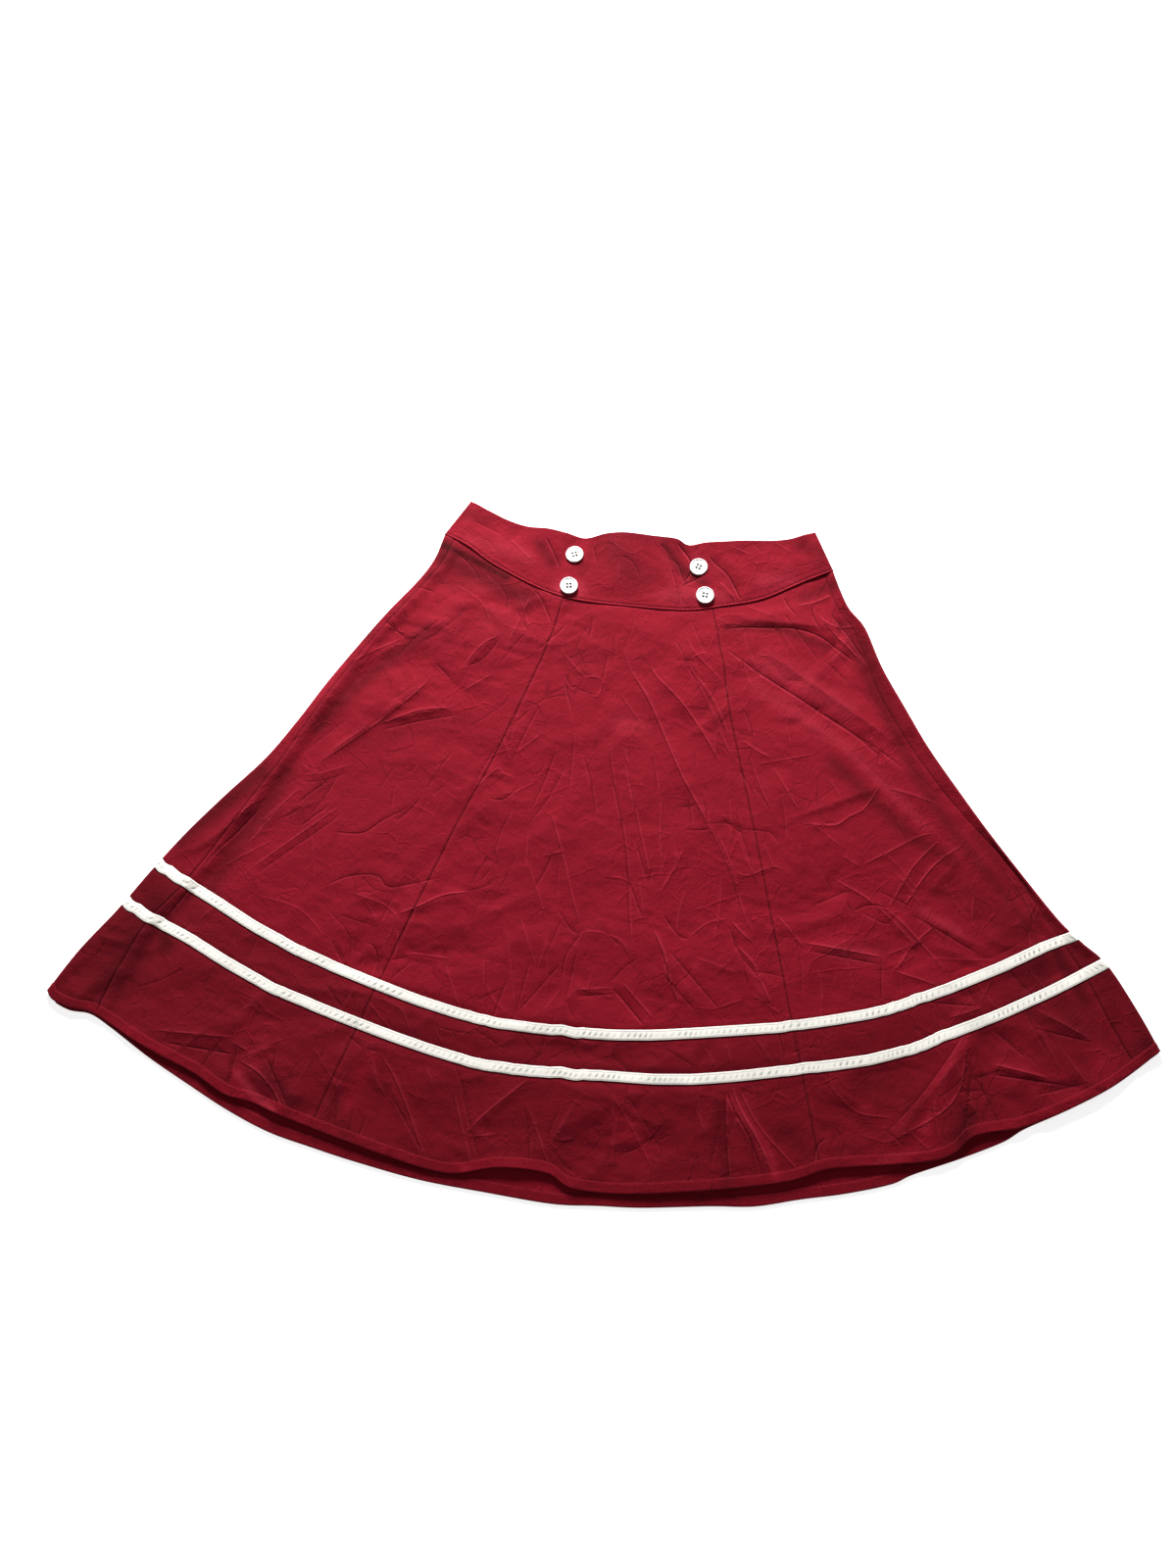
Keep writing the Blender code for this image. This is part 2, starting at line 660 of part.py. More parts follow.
def main():
    """Make every piece of the skirt."""
    clear_scene()
    half_gap = GAP / 2 / ((left_width + right_width) / 2)

    gores = (
        ("front_left", left_seam + half_gap, left_front - half_gap, SIDE_GORE_COLUMNS),
        ("front_centre", left_front + half_gap, right_front - half_gap, CENTRE_GORE_COLUMNS),
        ("front_right", right_front + half_gap, right_seam - half_gap, SIDE_GORE_COLUMNS),
    )
    front_over = []
    for name, start, stop, columns in gores:
        under, over = top_sheet(start, stop, columns)
        cloth(name, under, over, material(name, RED, 0.75))
        front_over.append(over)
    front_over = np.concatenate(front_over, axis=1)

    tapes = (("tape_upper", UPPER_TAPE_ROW), ("tape_lower", LOWER_TAPE_ROW))
    for name, row in tapes:
        tape(name + "_front", front_over, row, material(name + "_front", OFF_WHITE, 0.6))

    backs = (("back_left", left_seam, left_width, -1), ("back_right", right_seam, right_width, 1))
    for name, seam, width, side in backs:
        under, over = back_sheet(seam, width, side)
        cloth(name, under, over, material(name, RED, 0.75))
        outer_turn = over[:, BACK_COLUMNS + TURN_STEPS // 2 + 1:]
        outer_turn = outer_turn if side < 0 else outer_turn[:, ::-1]
        for tape_name, row in tapes:
            piece = tape_name + "_" + name
            tape(piece, outer_turn, row, material(piece, OFF_WHITE, 0.6))

    under, over = band_sheet(np.linspace(0, 1, BAND_COLUMNS + 1), band_lift, 0.0)
    cloth("waistband_front", under, over, material("waistband_front", RED, 0.75))
    left_half = np.append(flat_places(), 0.0)[::-1]
    for name, across in (("waistband_back_left", left_half), ("waistband_back_right", 1 - left_half)):
        under, over = band_sheet(across, flat_height, BACK_BAND_INSET)
        cloth(name, under, over, material(name, RED, 0.75))

    for name, x, y in BUTTONS:
        button(name, x, y, material(name, BUTTON_WHITE, 0.3))


main()
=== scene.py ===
"""Looks of the a-line skirt, laid flat: cloth with its creases, hems, tapes, stitches and buttons.

Plan outlines, seams and folds are in millimetres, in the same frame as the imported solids.
"""
import math

import bmesh
import bpy
import numpy as np
from bpy.props import FloatProperty, FloatVectorProperty, IntProperty, PointerProperty
from mathutils import Matrix, Vector


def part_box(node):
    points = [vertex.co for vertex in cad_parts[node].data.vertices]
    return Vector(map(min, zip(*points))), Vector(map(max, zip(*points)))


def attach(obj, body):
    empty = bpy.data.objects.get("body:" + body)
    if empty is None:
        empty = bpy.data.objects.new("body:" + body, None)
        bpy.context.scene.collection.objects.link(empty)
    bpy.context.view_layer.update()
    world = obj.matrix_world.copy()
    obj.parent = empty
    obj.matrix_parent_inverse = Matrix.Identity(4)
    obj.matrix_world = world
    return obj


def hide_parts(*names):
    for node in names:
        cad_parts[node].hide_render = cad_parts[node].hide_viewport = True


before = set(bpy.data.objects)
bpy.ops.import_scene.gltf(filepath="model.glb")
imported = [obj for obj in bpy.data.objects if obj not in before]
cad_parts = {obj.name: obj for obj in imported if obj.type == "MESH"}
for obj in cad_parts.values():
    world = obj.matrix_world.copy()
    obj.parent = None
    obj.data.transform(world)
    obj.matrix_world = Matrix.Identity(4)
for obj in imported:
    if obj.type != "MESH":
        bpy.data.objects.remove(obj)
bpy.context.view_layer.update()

bl_info = {
    "name": "A-line skirt laid flat",
    "version": (1, 0, 0),
    "blender": (4, 5, 0),
    "location": "View3D > Sidebar > Skirt",
    "description": "Dresses the packed skirt with cloth, tapes, stitches and buttons",
    "category": "Object",
}

MM = 0.001

# Thicknesses and gaps of the solids
CLOTH = 1.2
BAND_CLOTH = 1.6
HEM_EXTRA = 0.7
GAP = 0.3

TAPE_WIDTH = 10.0
HEM_DEPTH = 9.0
HEM_STEP = 1.0
WAIST_WIDTH = 400.0
BACK_BAND_INSET = 1.5

ROWS_TO_TAPES = 17
ROWS_BETWEEN_TAPES = 2
ROWS_TO_HEM = 6
LINE_POINTS = 61
HALVINGS = 36
CURVE_STEPS = 8

# Outlines, seen from above, as points (x, y)
LEFT_FOLD = (
    (-196.5, 300), (-204, 272), (-218, 246.6), (-245.5, 209), (-271.5, 169), (-296.3, 129), (-318.7, 89.2),
    (-344.2, 48.7), (-377.9, 8.3), (-409.2, -31.3), (-436.9, -71.4), (-462.3, -111.1), (-490.7, -150.8),
    (-513.2, -190.5),
)
RIGHT_FOLD = (
    (204.5, 290), (212, 270), (221.7, 249.8), (238, 230), (255.3, 189.7), (278.1, 149.5), (301.6, 109.7),
    (330, 69.3), (359, 30), (391.2, -10.6), (424.3, -50.7), (446.2, -70.9), (469, -90), (495.7, -130.8),
    (514.5, -165),
)
WAIST_SEAM = (
    (-196.5, 300), (-171, 288), (-144, 270), (-102, 250), (-75, 241), (-47, 236), (1, 234),
    (56, 234), (91, 241), (132, 252), (173, 274), (204.5, 290),
)
FRONT_HEM = (
    (-513.2, -190.5), (-506, -199), (-488, -205), (-470, -207), (-450, -216), (-425, -229),
    (-400, -240), (-365, -254), (-335, -270), (-310, -275), (-270, -288), (-216, -303), (-181, -312),
    (-145, -320), (-118, -322), (-81, -314), (-38, -315), (-15, -326), (26, -328), (79, -322.5),
    (142, -313), (183, -304), (211, -293), (240, -288), (300, -279), (325, -270), (345, -253),
    (388, -242), (430, -223), (470, -200), (505, -173), (514.5, -165),
)
BACK_HEM = (
    (-513.2, -190.5), (-508, -199), (-490, -207), (-470, -209), (-450, -219), (-410, -243),
    (-370, -264), (-330, -284), (-290, -300), (-250, -310), (-210, -319), (-150, -330), (-90, -336),
    (-30, -341), (10, -339.5), (50, -338), (110, -332), (150, -329), (190, -320), (230, -312),
    (270, -301), (290, -291), (330, -275), (370, -257), (390, -244), (430, -224), (470, -201),
    (505, -174), (514.5, -165),
)
BAND_TOP = (
    (-173, 340), (-150, 328.8), (-130, 320), (-110, 315), (-90, 314.5), (-70, 310.8), (-50, 306.5),
    (-30, 313.5), (-10, 316.2), (20, 314.5), (42, 313.5), (56, 307.5), (75, 312), (110, 316.5), (150, 320.2),
    (184.5, 332.5),
)

# Seams and tape centre lines on the top of the skirt
LEFT_SIDE_SEAM = (
    (-185, 298), (-194, 272), (-210, 245), (-236, 208), (-260, 172), (-293, 116), (-329, 47),
    (-356, -2), (-402, -82), (-429, -117), (-452, -170), (-466, -212),
)
LEFT_FRONT_SEAM = ((-69, 236), (-78, 194), (-99, 129), (-133, 36), (-149, 1), (-206, -157), (-254, -297))
RIGHT_FRONT_SEAM = ((83, 240), (94, 194), (106, 128), (127.5, 41), (142, -19), (160, -95), (208, -297))
RIGHT_SIDE_SEAM = (
    (195, 290), (202, 268), (212, 247), (228, 224), (244, 186), (258, 152), (302, 84), (338, 41),
    (376, 1), (411, -48), (448, -102), (468, -140), (495, -188),
)
UPPER_TAPE = (
    (-432, -62.5), (-405, -79), (-370, -96), (-330, -117), (-290, -134.3), (-250, -148.6), (-210, -161),
    (-170, -172.8), (-130, -182), (-90, -188.3), (-50, -190.2), (10, -190.5), (50, -187.7), (90, -182.5),
    (130, -176.8), (170, -170.8), (210, -162.2), (250, -152.3), (290, -137.3), (330, -119.3), (370, -100),
    (410, -78), (439, -65),
)
LOWER_TAPE = (
    (-456, -101), (-430, -116.5), (-390, -132.3), (-350, -152.5), (-310, -170.3), (-270, -183.6),
    (-230, -195.5), (-190, -206.8), (-150, -216.9), (-110, -225), (-70, -228.3), (-30, -228), (10, -226.8),
    (50, -226.8), (90, -223.9), (130, -217.8), (170, -210), (210, -202.6), (250, -193.7), (290, -180),
    (330, -161), (370, -142.5), (410, -121.5), (450, -99), (467, -88),
)

# Roundness of the side folds and of the panels beside them, from waist (0) to hem (1)
#    down, left roll, right roll, left panel, right panel
SIDE_SHAPE = (
    (0.00, 0.8, 0.8, 0.9, 0.9),
    (0.08, 2.2, 1.9, 2.2, 3.0),
    (0.25, 3.4, 2.6, 3.0, 4.0),
    (0.50, 3.6, 2.7, 3.0, 3.9),
    (0.75, 3.3, 2.6, 2.6, 3.5),
    (0.90, 2.7, 2.3, 2.2, 2.8),
    (1.00, 1.4, 1.3, 1.4, 1.4),
)
LEFT_RISE = 48.0
RIGHT_RISE = 28.0
SEAM_FALL = 15.0
FOLD_SHARE = 0.35
SIDE_FADE = 30.0
WAIST_FADE = 0.035
END_FADE = 0.25
HEM_ROOM_START = 0.93
HEM_ROOM_LENGTH = 0.04
SOFTNESS = 0.2

# Broad swells of the skirt's front: centre x, y, half-lengths along x and y, height
SWELLS = (
    (-185, 215, 45, 35, 1.4),
    (150, 243, 60, 14, 2.0),
    (0, 120, 90, 110, -0.7),
    (-40, -60, 110, 60, -0.5),
    (230, 10, 60, 60, 1.0),
    (-60, -318, 42, 22, 1.9),
    (-300, -262, 40, 24, 1.3),
    (300, -262, 44, 30, 1.6),
    (120, -310, 60, 26, 0.9),
)

# Largest folds of the skirt's front, which the solids have too: from x, y to x, y, half-width, height
FOLDS = (
    (118, 209, 294, 94, 9, 2.4),
    (108, 230, 212, 226, 8, 1.7),
    (196, 234, 246, 180, 9, 2.2),
    (-190, 282, -105, 248, 13, -1.5),
    (-106, 252, -76, 206, 9, -1.2),
    (-292, 132, -218, 184, 10, 2.0),
    (-252, 204, -214, 176, 8, -1.4),
    (-172, 140, -126, 200, 10, 1.4),
    (-240, 92, -165, 114, 5, 1.2),
    (-300, 40, -186, 148, 8, 1.6),
    (-408, -62, -330, 18, 9, 1.7),
    (-396, -74, -345, 0, 9, -1.1),
    (-350, -42, -310, 12, 8, 0.8),
    (-306, -38, -252, 22, 9, -0.6),
    (0, 186, 112, -24, 9, 1.3),
    (24, 184, 108, 66, 9, 1.1),
    (-68, 172, -18, 18, 9, 1.0),
    (160, 22, 262, 68, 9, 1.7),
    (282, -58, 344, 16, 9, 1.0),
    (276, -44, 362, -92, 9, 0.8),
    (262, -112, 330, -122, 9, 0.7),
    (170, -90, 268, -101, 8, 0.6),
    (112, -92, 160, -160, 9, 1.7),
    (38, -82, 104, -180, 10, 1.2),
    (-30, -98, 20, -102, 9, 0.6),
    (12, -146, 46, -184, 8, -0.5),
    (-200, -96, -126, -68, 9, 1.2),
    (350, -160, 258, -276, 14, 2.8),
    (352, -190, 420, -200, 9, 1.7),
    (396, -212, 452, -196, 9, -1.1),
    (392, -134, 458, -162, 8, 1.3),
    (114, -222, 168, -308, 9, 2.1),
    (-330, -232, -268, -292, 10, 0.7),
    (-402, -219, -330, -220, 8, 0.6),
    (-200, -222, -142, -322, 9, 1.5),
    (-58, -234, -118, -294, 9, 1.2),
    (-110, -226, -88, -300, 9, -0.9),
    (206, -212, 262, -250, 9, 1.1),
)

FOLD_WIDTH_SHARE = 0.62
FOLD_HEIGHT_SHARE = 1.15
MAIN_FOLDS = tuple((FOLD_WIDTH_SHARE * width, FOLD_HEIGHT_SHARE * height, (x0, y0), (x1, y1))
                   for x0, y0, x1, y1, width, height in FOLDS)

# Folds of the front waistband: from x, y to x, y, half-width, height
BAND_FOLDS = (
    (48, 318, 58, 262, 9, -1.7),
    (76, 304, 116, 254, 8, -1.5),
    (18, 322, 50, 240, 8, 0.9),
    (-50, 316, -86, 258, 9, -1.4),
    (-176, 338, -110, 300, 14, -1.2),
    (-150, 292, -96, 276, 14, 1.0),
    (110, 306, 168, 288, 12, 1.1),
    (150, 326, 190, 300, 10, -1.1),
    (-12, 322, -18, 244, 18, 1.1),
)
BAND_SWELL = 1.7
BAND_END = 14.0

# Buttons: name, centre x and y, turn in degrees
BUTTONS = (
    ("left_upper", -60.6, 286.8, 20),
    ("left_lower", -63.7, 251.6, 8),
    ("right_upper", 66.7, 283.0, -24),
    ("right_lower", 74.6, 251.9, -6),
)

# Crisp creases of the front: half-width, height (below zero for a valley), then the points they run through
CREASES = (
    # left hip
    (4, 0.9, (-300, 40), (-272, 62), (-235, 95), (-205, 125), (-190, 145)),
    (4, 0.8, (-240, 88), (-200, 107), (-168, 112)),
    (3, -0.6, (-235, 84), (-200, 96), (-160, 106)),
    (3, 0.7, (-159, 158), (-152, 171), (-141, 184), (-129, 191)),
    (3, -0.6, (-159, 156), (-143, 166), (-133, 180), (-128, 190)),
    (3, -0.6, (-113, 220), (-106, 208), (-101, 198)),
    (4, -0.8, (-190, 284), (-175, 276), (-161, 262), (-154, 249)),
    (4, 0.6, (-160, 130), (-130, 152)),
    (5, -0.8, (-104, 250), (-90, 235), (-76, 208)),
    (6, 0.5, (-120, 250), (-105, 215), (-100, 195)),
    (4, -0.6, (-227, 241), (-198, 235)),
    (4, -0.8, (-252, 204), (-220, 181)),
    (4, 0.7, (-250, 196), (-224, 188)),
    (5, 0.8, (-290, 136), (-262, 160), (-224, 183)),
    (3, 0.5, (-312, 33), (-290, 35), (-256, 48)),
    (4, -0.5, (-308, 27), (-288, 28), (-260, 39)),
    (5, 0.6, (-282, 58), (-248, 87)),
    (3, -0.6, (-302, -20), (-273, 7)),
    (5, 0.6, (-342, -22), (-303, 22)),
    (5, 1.0, (-427, -60), (-385, -38), (-343, 7)),
    (7, -0.9, (-389, -69), (-378, -50), (-360, -28), (-340, 0)),
    (3, -0.5, (-352, -59), (-335, -79), (-323, -92)),
    (4, 0.7, (-347, -40), (-320, 2)),
    (7, 0.5, (-368, -62), (-322, -33)),
    (3, 0.7, (-342, -64), (-263, 6)),
    (3, -0.5, (-336, -68), (-260, -1)),
    (3, -0.7, (-270, -21), (-240, -20), (-222, -6), (-198, 9)),
    (3, 0.5, (-353, -60), (-320, -97)),
    (4, 0.4, (-286, -28), (-277, -67)),
    (4, 0.6, (-328, 48), (-344, 25)),
    (5, 0.5, (-180, 245), (-150, 225), (-140, 205)),
    (4, -0.5, (-150, 262), (-128, 240), (-122, 218)),
    # left gore, above the tapes
    (4, -0.7, (-270, -74), (-245, -62), (-220, -60), (-209, -70), (-190, -66), (-156, -56)),
    (4, 1.0, (-197, -96), (-175, -85), (-155, -74), (-130, -69)),
    (5, 0.6, (-242, -79), (-212, -87), (-194, -100)),
    (3, -0.7, (-223, -123), (-213, -130), (-206, -157)),
    (4, 0.7, (-182, -131), (-143, -133)),
    (3, 0.5, (-150, -133), (-138, -160), (-129, -180)),
    (3, -0.5, (-196, -156), (-178, -137)),
    (4, 0.5, (-330, -88), (-290, -98), (-262, -122)),
    (4, -0.4, (-262, -96), (-240, -118), (-236, -142)),
    # centre gore, upper half
    (3, 0.5, (-101, 70), (-77, 93)),
    (3, 0.6, (-138, 30), (-118, 53), (-112, 50), (-98, 45)),
    (3, -0.6, (-122, 23), (-108, 24), (-93, 38)),
    (3, 0.4, (-116, 87), (-107, 63)),
    (3, 0.6, (-63, 178), (-49, 163), (-40, 156)),
    (3, -0.6, (-61, 159), (-52, 144), (-45, 147)),
    (3, 0.6, (-43, 154), (-31, 156), (-22, 152), (-25, 136), (-35, 137)),
    (4, -0.6, (-59, 147), (-49, 118)),
    (4, -0.6, (-46, 142), (-27, 137)),
    (3, -0.5, (-37, 79), (-27, 53), (-17, 14)),
    (3, -0.7, (-12, 90), (-3, 48), (8, 7), (16, -33), (20, -74), (25, -113)),
    (3, 0.7, (2, 93), (10, 62), (20, 20), (32, -23), (40, -52)),
    (8, 0.6, (-4, 140), (20, 110)),
    (4, 1.0, (-6, 182), (8, 161), (24, 137), (42, 101), (62, 60), (87, 19), (110, -23), (126, -65),
     (134, -90)),
    (4, 0.9, (19, 180), (32, 160), (54, 139), (77, 110), (99, 75)),
    (4, 0.8, (51, 200), (64, 172), (87, 142), (106, 103)),
    (3, -0.6, (47, 202), (55, 190), (64, 172), (70, 158)),
    (3, 0.6, (59, 200), (71, 185), (86, 171), (96, 160)),
    (3, 0.6, (68, 163), (81, 141), (97, 111)),
    (3, 0.6, (79, 142), (95, 110), (117, 68)),
    (3, 0.4, (-6, 192), (6, 163)),
    (3, 0.5, (45, 43), (46, -2), (51, -31)),
    (3, 0.7, (-64, 19), (-49, -21), (-35, -66), (-24, -94)),
    (3, 0.5, (-80, -3), (-78, -40), (-65, -70), (-59, -92)),
    (4, 0.6, (95, 12), (115, -28), (125, -65), (139, -90)),
    # centre gore, above the tapes
    (3, -0.6, (-47, -79), (-31, -98), (-22, -98)),
    (5, 0.55, (-22, -98), (-3, -98), (15, -105), (24, -119)),
    (3, -0.6, (-22, -98), (-35, -120), (-38, -144)),
    (3, 0.7, (-27, -153), (10, -148)),
    (3, -0.6, (-22, -158), (12, -153)),
    (5, -1.0, (9, -146), (42, -180)),
    (4, 0.8, (18, -142), (50, -174)),
    (3, 0.4, (-37, -153), (-51, -174)),
    (3, 0.5, (-111, -123), (-105, -160), (-84, -180)),
    (3, 0.4, (-91, -103), (-77, -172)),
    (3, 0.5, (-83, -88), (-64, -132)),
    (4, -0.6, (-39, -128), (-76, -177)),
    (3, 0.6, (70, -9), (61, -30), (48, -57)),
    (3, -0.5, (21, -4), (29, -27), (37, -49)),
    (3, -0.6, (13, -34), (30, -73), (36, -84)),
    (3, 0.4, (29, -43), (36, -77)),
    (5, 1.2, (43, -89), (55, -113), (62, -137), (72, -158)),
    (3, -0.7, (51, -74), (68, -94), (79, -97)),
    (3, 0.6, (79, -95), (95, -81), (115, -75)),
    (4, 0.9, (116, -77), (127, -88), (138, -96)),
    (4, -0.9, (115, -83), (125, -105), (145, -129)),
    (3, -0.7, (59, -108), (112, -162)),
    (3, -0.6, (56, -133), (87, -162)),
    (3, 0.4, (83, -114), (127, -126)),
    (4, 1.0, (120, -98), (138, -115), (145, -130), (157, -153)),
    (4, 0.6, (108, -159), (132, -149)),
    (4, 0.7, (138, -144), (167, -160)),
    # right gore, upper half
    (5, -1.3, (92, 201), (115, 185), (133, 173), (157, 159), (200, 133), (255, 100), (282, 80)),
    (4, -1.2, (93, 213), (101, 218), (119, 221), (142, 222), (165, 223), (185, 219), (199, 212), (214, 201),
     (234, 189)),
    (3, -0.9, (155, 257), (160, 246), (167, 238)),
    (3, 0.9, (167, 247), (184, 252), (204, 263)),
    (3, -0.9, (183, 250), (186, 234), (193, 223)),
    (4, 1.0, (187, 238), (205, 228), (234, 232)),
    (5, 1.3, (188, 240), (205, 220), (233, 195)),
    (7, -1.4, (202, 242), (222, 218), (240, 192)),
    (4, 0.5, (116, 244), (152, 231)),
    (4, 0.5, (86, 230), (102, 221)),
    (3, 0.7, (118, 101), (136, 90), (148, 85)),
    (4, 0.7, (126, 86), (135, 62), (150, 30)),
    (3, 0.4, (159, 122), (166, 98)),
    (6, 0.5, (133, 77), (192, 93)),
    (4, 0.7, (149, 77), (176, 33)),
    (3, -0.5, (132, 56), (151, 31)),
    (4, -0.7, (103, 21), (124, 7)),
    (4, -0.5, (90, 14), (108, 17), (125, 12), (140, 12), (151, 10), (162, -4)),
    (3, 0.6, (116, -29), (130, -33), (152, -23), (164, -25)),
    (3, 0.8, (176, 22), (210, 22), (225, 32), (240, 42), (256, 68)),
    (3, 0.5, (184, 26), (218, 1)),
    (3, 0.4, (204, 67), (216, 50)),
    (3, 0.5, (218, -7), (237, -17)),
    # right gore, above the tapes
    (3, 0.8, (158, -68), (186, -97)),
    (4, 0.9, (183, -92), (262, -100)),
    (3, -0.6, (188, -99), (260, -107)),
    (3, -0.5, (193, -56), (227, -39)),
    (3, -0.7, (230, -59), (245, -52), (267, -53)),
    (3, -0.6, (238, -59), (262, -68), (272, -57)),
    (5, 1.0, (335, 14), (305, -11), (275, -57)),
    (4, 0.8, (313, 17), (287, -12), (262, -58)),
    (4, 0.9, (210, -29), (249, -50), (292, -89)),
    (4, 0.9, (249, -46), (277, -67), (318, -109)),
    (3, -0.7, (286, -58), (312, -71), (348, -90)),
    (3, 0.8, (271, -112), (288, -86), (313, -62)),
    (3, 0.7, (260, 64), (282, 59), (309, 52)),
    (3, 0.7, (236, -16), (261, -1), (291, 17), (309, 23)),
    (4, -0.8, (179, 146), (224, 119), (260, 90)),
    (3, -0.5, (253, -37), (287, -51)),
    (3, 0.4, (271, -71), (291, -89)),
    (3, 0.5, (260, -99), (302, -79)),
    (3, 0.4, (267, -113), (291, -94)),
    (4, 0.7, (266, -111), (314, -123)),
    (6, 0.4, (298, -98), (367, -95)),
    (3, -0.5, (258, -98), (258, -142)),
    (5, 0.8, (373, -8), (390, -30), (402, -58)),
    # between the tapes
    (6, -1.0, (-396, -86), (-412, -112)),
    (4, -0.7, (298, -138), (352, -138)),
    (4, 0.7, (320, -151), (352, -139)),
    (3, 0.5, (349, -136), (361, -113)),
    (4, -0.7, (377, -104), (396, -121)),
    (3, -0.6, (-255, -165), (-238, -185)),
    (4, 0.6, (-215, -178), (-192, -200)),
    (3, 0.5, (-206, -173), (-184, -182), (-172, -203)),
    (3, 0.5, (-126, -203), (-108, -192), (-84, -196)),
    (3, 0.4, (-152, -195), (-140, -214)),
    (4, 0.5, (-52, -212), (-36, -196), (0, -202)),
    (3, 0.5, (96, -194), (110, -214)),
    (3, 0.5, (116, -188), (122, -208)),
    (4, 0.6, (144, -184), (160, -204)),
    (3, -0.4, (60, -198), (92, -214)),
    # below the lower tape
    (5, 0.9, (-199, -222), (-178, -250), (-143, -318)),
    (3, 0.5, (-213, -218), (-194, -260)),
    (3, 0.6, (-38, -293), (-31, -286), (-26, -275), (-17, -257)),
    (3, 0.7, (-31, -287), (-23, -286), (-14, -284)),
    (4, 0.9, (-58, -234), (-95, -268), (-114, -290)),
    (3, 0.8, (-59, -260), (-48, -283), (-36, -309)),
    (3, -0.6, (-62, -260), (-56, -281), (-52, -309)),
    (3, 0.5, (-14, -250), (-36, -290)),
    (4, -0.6, (-129, -226), (-111, -264)),
    (3, 0.4, (-156, -230), (-144, -252)),
    (4, 0.8, (-128, -250), (-116, -285), (-104, -316)),
    (3, -0.6, (-119, -252), (-108, -282), (-98, -308)),
    (3, 0.6, (-112, -290), (-84, -286)),
    (4, -1.1, (117, -223), (126, -246), (143, -272), (155, -301)),
    (4, 1.3, (122, -223), (131, -245), (150, -274), (164, -302)),
    (3, 0.9, (128, -226), (147, -257), (166, -277), (191, -300)),
    (4, -0.9, (118, -228), (121, -268), (127, -316)),
    (3, 0.5, (91, -248), (98, -263), (106, -275)),
    (3, -0.5, (27, -294), (40, -289), (57, -276)),
    (3, -0.7, (212, -265), (203, -274), (199, -295)),
    (4, 0.7, (203, -209), (235, -240), (272, -244)),
    (3, 0.4, (94, -233), (106, -280)),
    (3, 0.8, (-407, -219), (-333, -220)),
    (6, -1.1, (-397, -229), (-328, -235)),
    (4, 0.9, (-334, -224), (-318, -231)),
    (4, -0.8, (-332, -238), (-332, -264)),
    (6, 1.6, (-326, -239), (-307, -248), (-291, -262), (-281, -278), (-273, -287)),
    (3, -0.6, (-328, -224), (-329, -237), (-331, -260)),
    (3, 0.6, (-326, -239), (-309, -230), (-294, -225)),
    (3, -0.5, (-234, -207), (-211, -220), (-196, -221)),
    (3, 0.5, (-330, -196), (-321, -190), (-312, -197)),
    (3, 0.7, (-206, -225), (-198, -247), (-188, -261)),
    (3, -0.7, (-180, -263), (-162, -288), (-147, -309)),
    (4, -0.9, (-301, -234), (-274, -277)),
    (4, 0.7, (-321, -241), (-297, -225)),
    (4, 0.5, (-260, -222), (-228, -262)),
    (7, 1.1, (339, -168), (325, -225), (262, -268)),
    (3, -0.6, (338, -158), (300, -215), (258, -264)),
    (6, -1.0, (342, -193), (335, -252)),
    (4, 0.9, (358, -189), (412, -198)),
    (5, -0.9, (356, -198), (442, -204)),
    (4, -0.7, (398, -214), (447, -199)),
    (4, 0.8, (398, -136), (452, -161)),
    (4, -0.7, (398, -154), (454, -163)),
    (4, -0.7, (363, -159), (390, -181)),
    (4, 0.7, (399, -148), (421, -190)),
    (4, 0.7, (420, -168), (452, -209)),
    (4, 0.5, (283, -254), (317, -279)),
    (4, 0.6, (10, -236), (34, -268), (60, -310)),
    (4, -0.4, (28, -240), (66, -290)),
)

# Crisp creases of the front waistband, in the same columns
BAND_CREASES = (
    (5, -1.6, (43, 309), (57, 292), (59, 278), (53, 265)),
    (3, -1.0, (33, 291), (45, 285), (53, 265), (56, 256)),
    (3, -1.0, (50, 260), (64, 269), (71, 273)),
    (3, -0.7, (38, 283), (45, 261), (51, 238)),
    (5, -1.4, (76, 298), (82, 290), (96, 278), (105, 263), (112, 249)),
    (4, 1.0, (87, 268), (100, 256), (106, 247)),
    (3, -0.6, (24, 307), (35, 296), (38, 285)),
    (4, 0.5, (96, 309), (122, 299)),
    (3, -0.4, (119, 317), (131, 303)),
    (5, 0.5, (138, 319), (162, 304)),
    (3, -0.6, (-43, 300), (-36, 277)),
    (3, 0.5, (-14, 282), (-12, 262)),
    (3, -0.5, (-20, 291), (-1, 283), (9, 265)),
    (5, -1.0, (-92, 305), (-81, 286), (-74, 271)),
    (5, 0.5, (-130, 300), (-104, 276)),
    (4, -0.5, (-168, 318), (-138, 304)),
    (4, 0.4, (-28, 306), (-4, 292), (10, 300)),
)

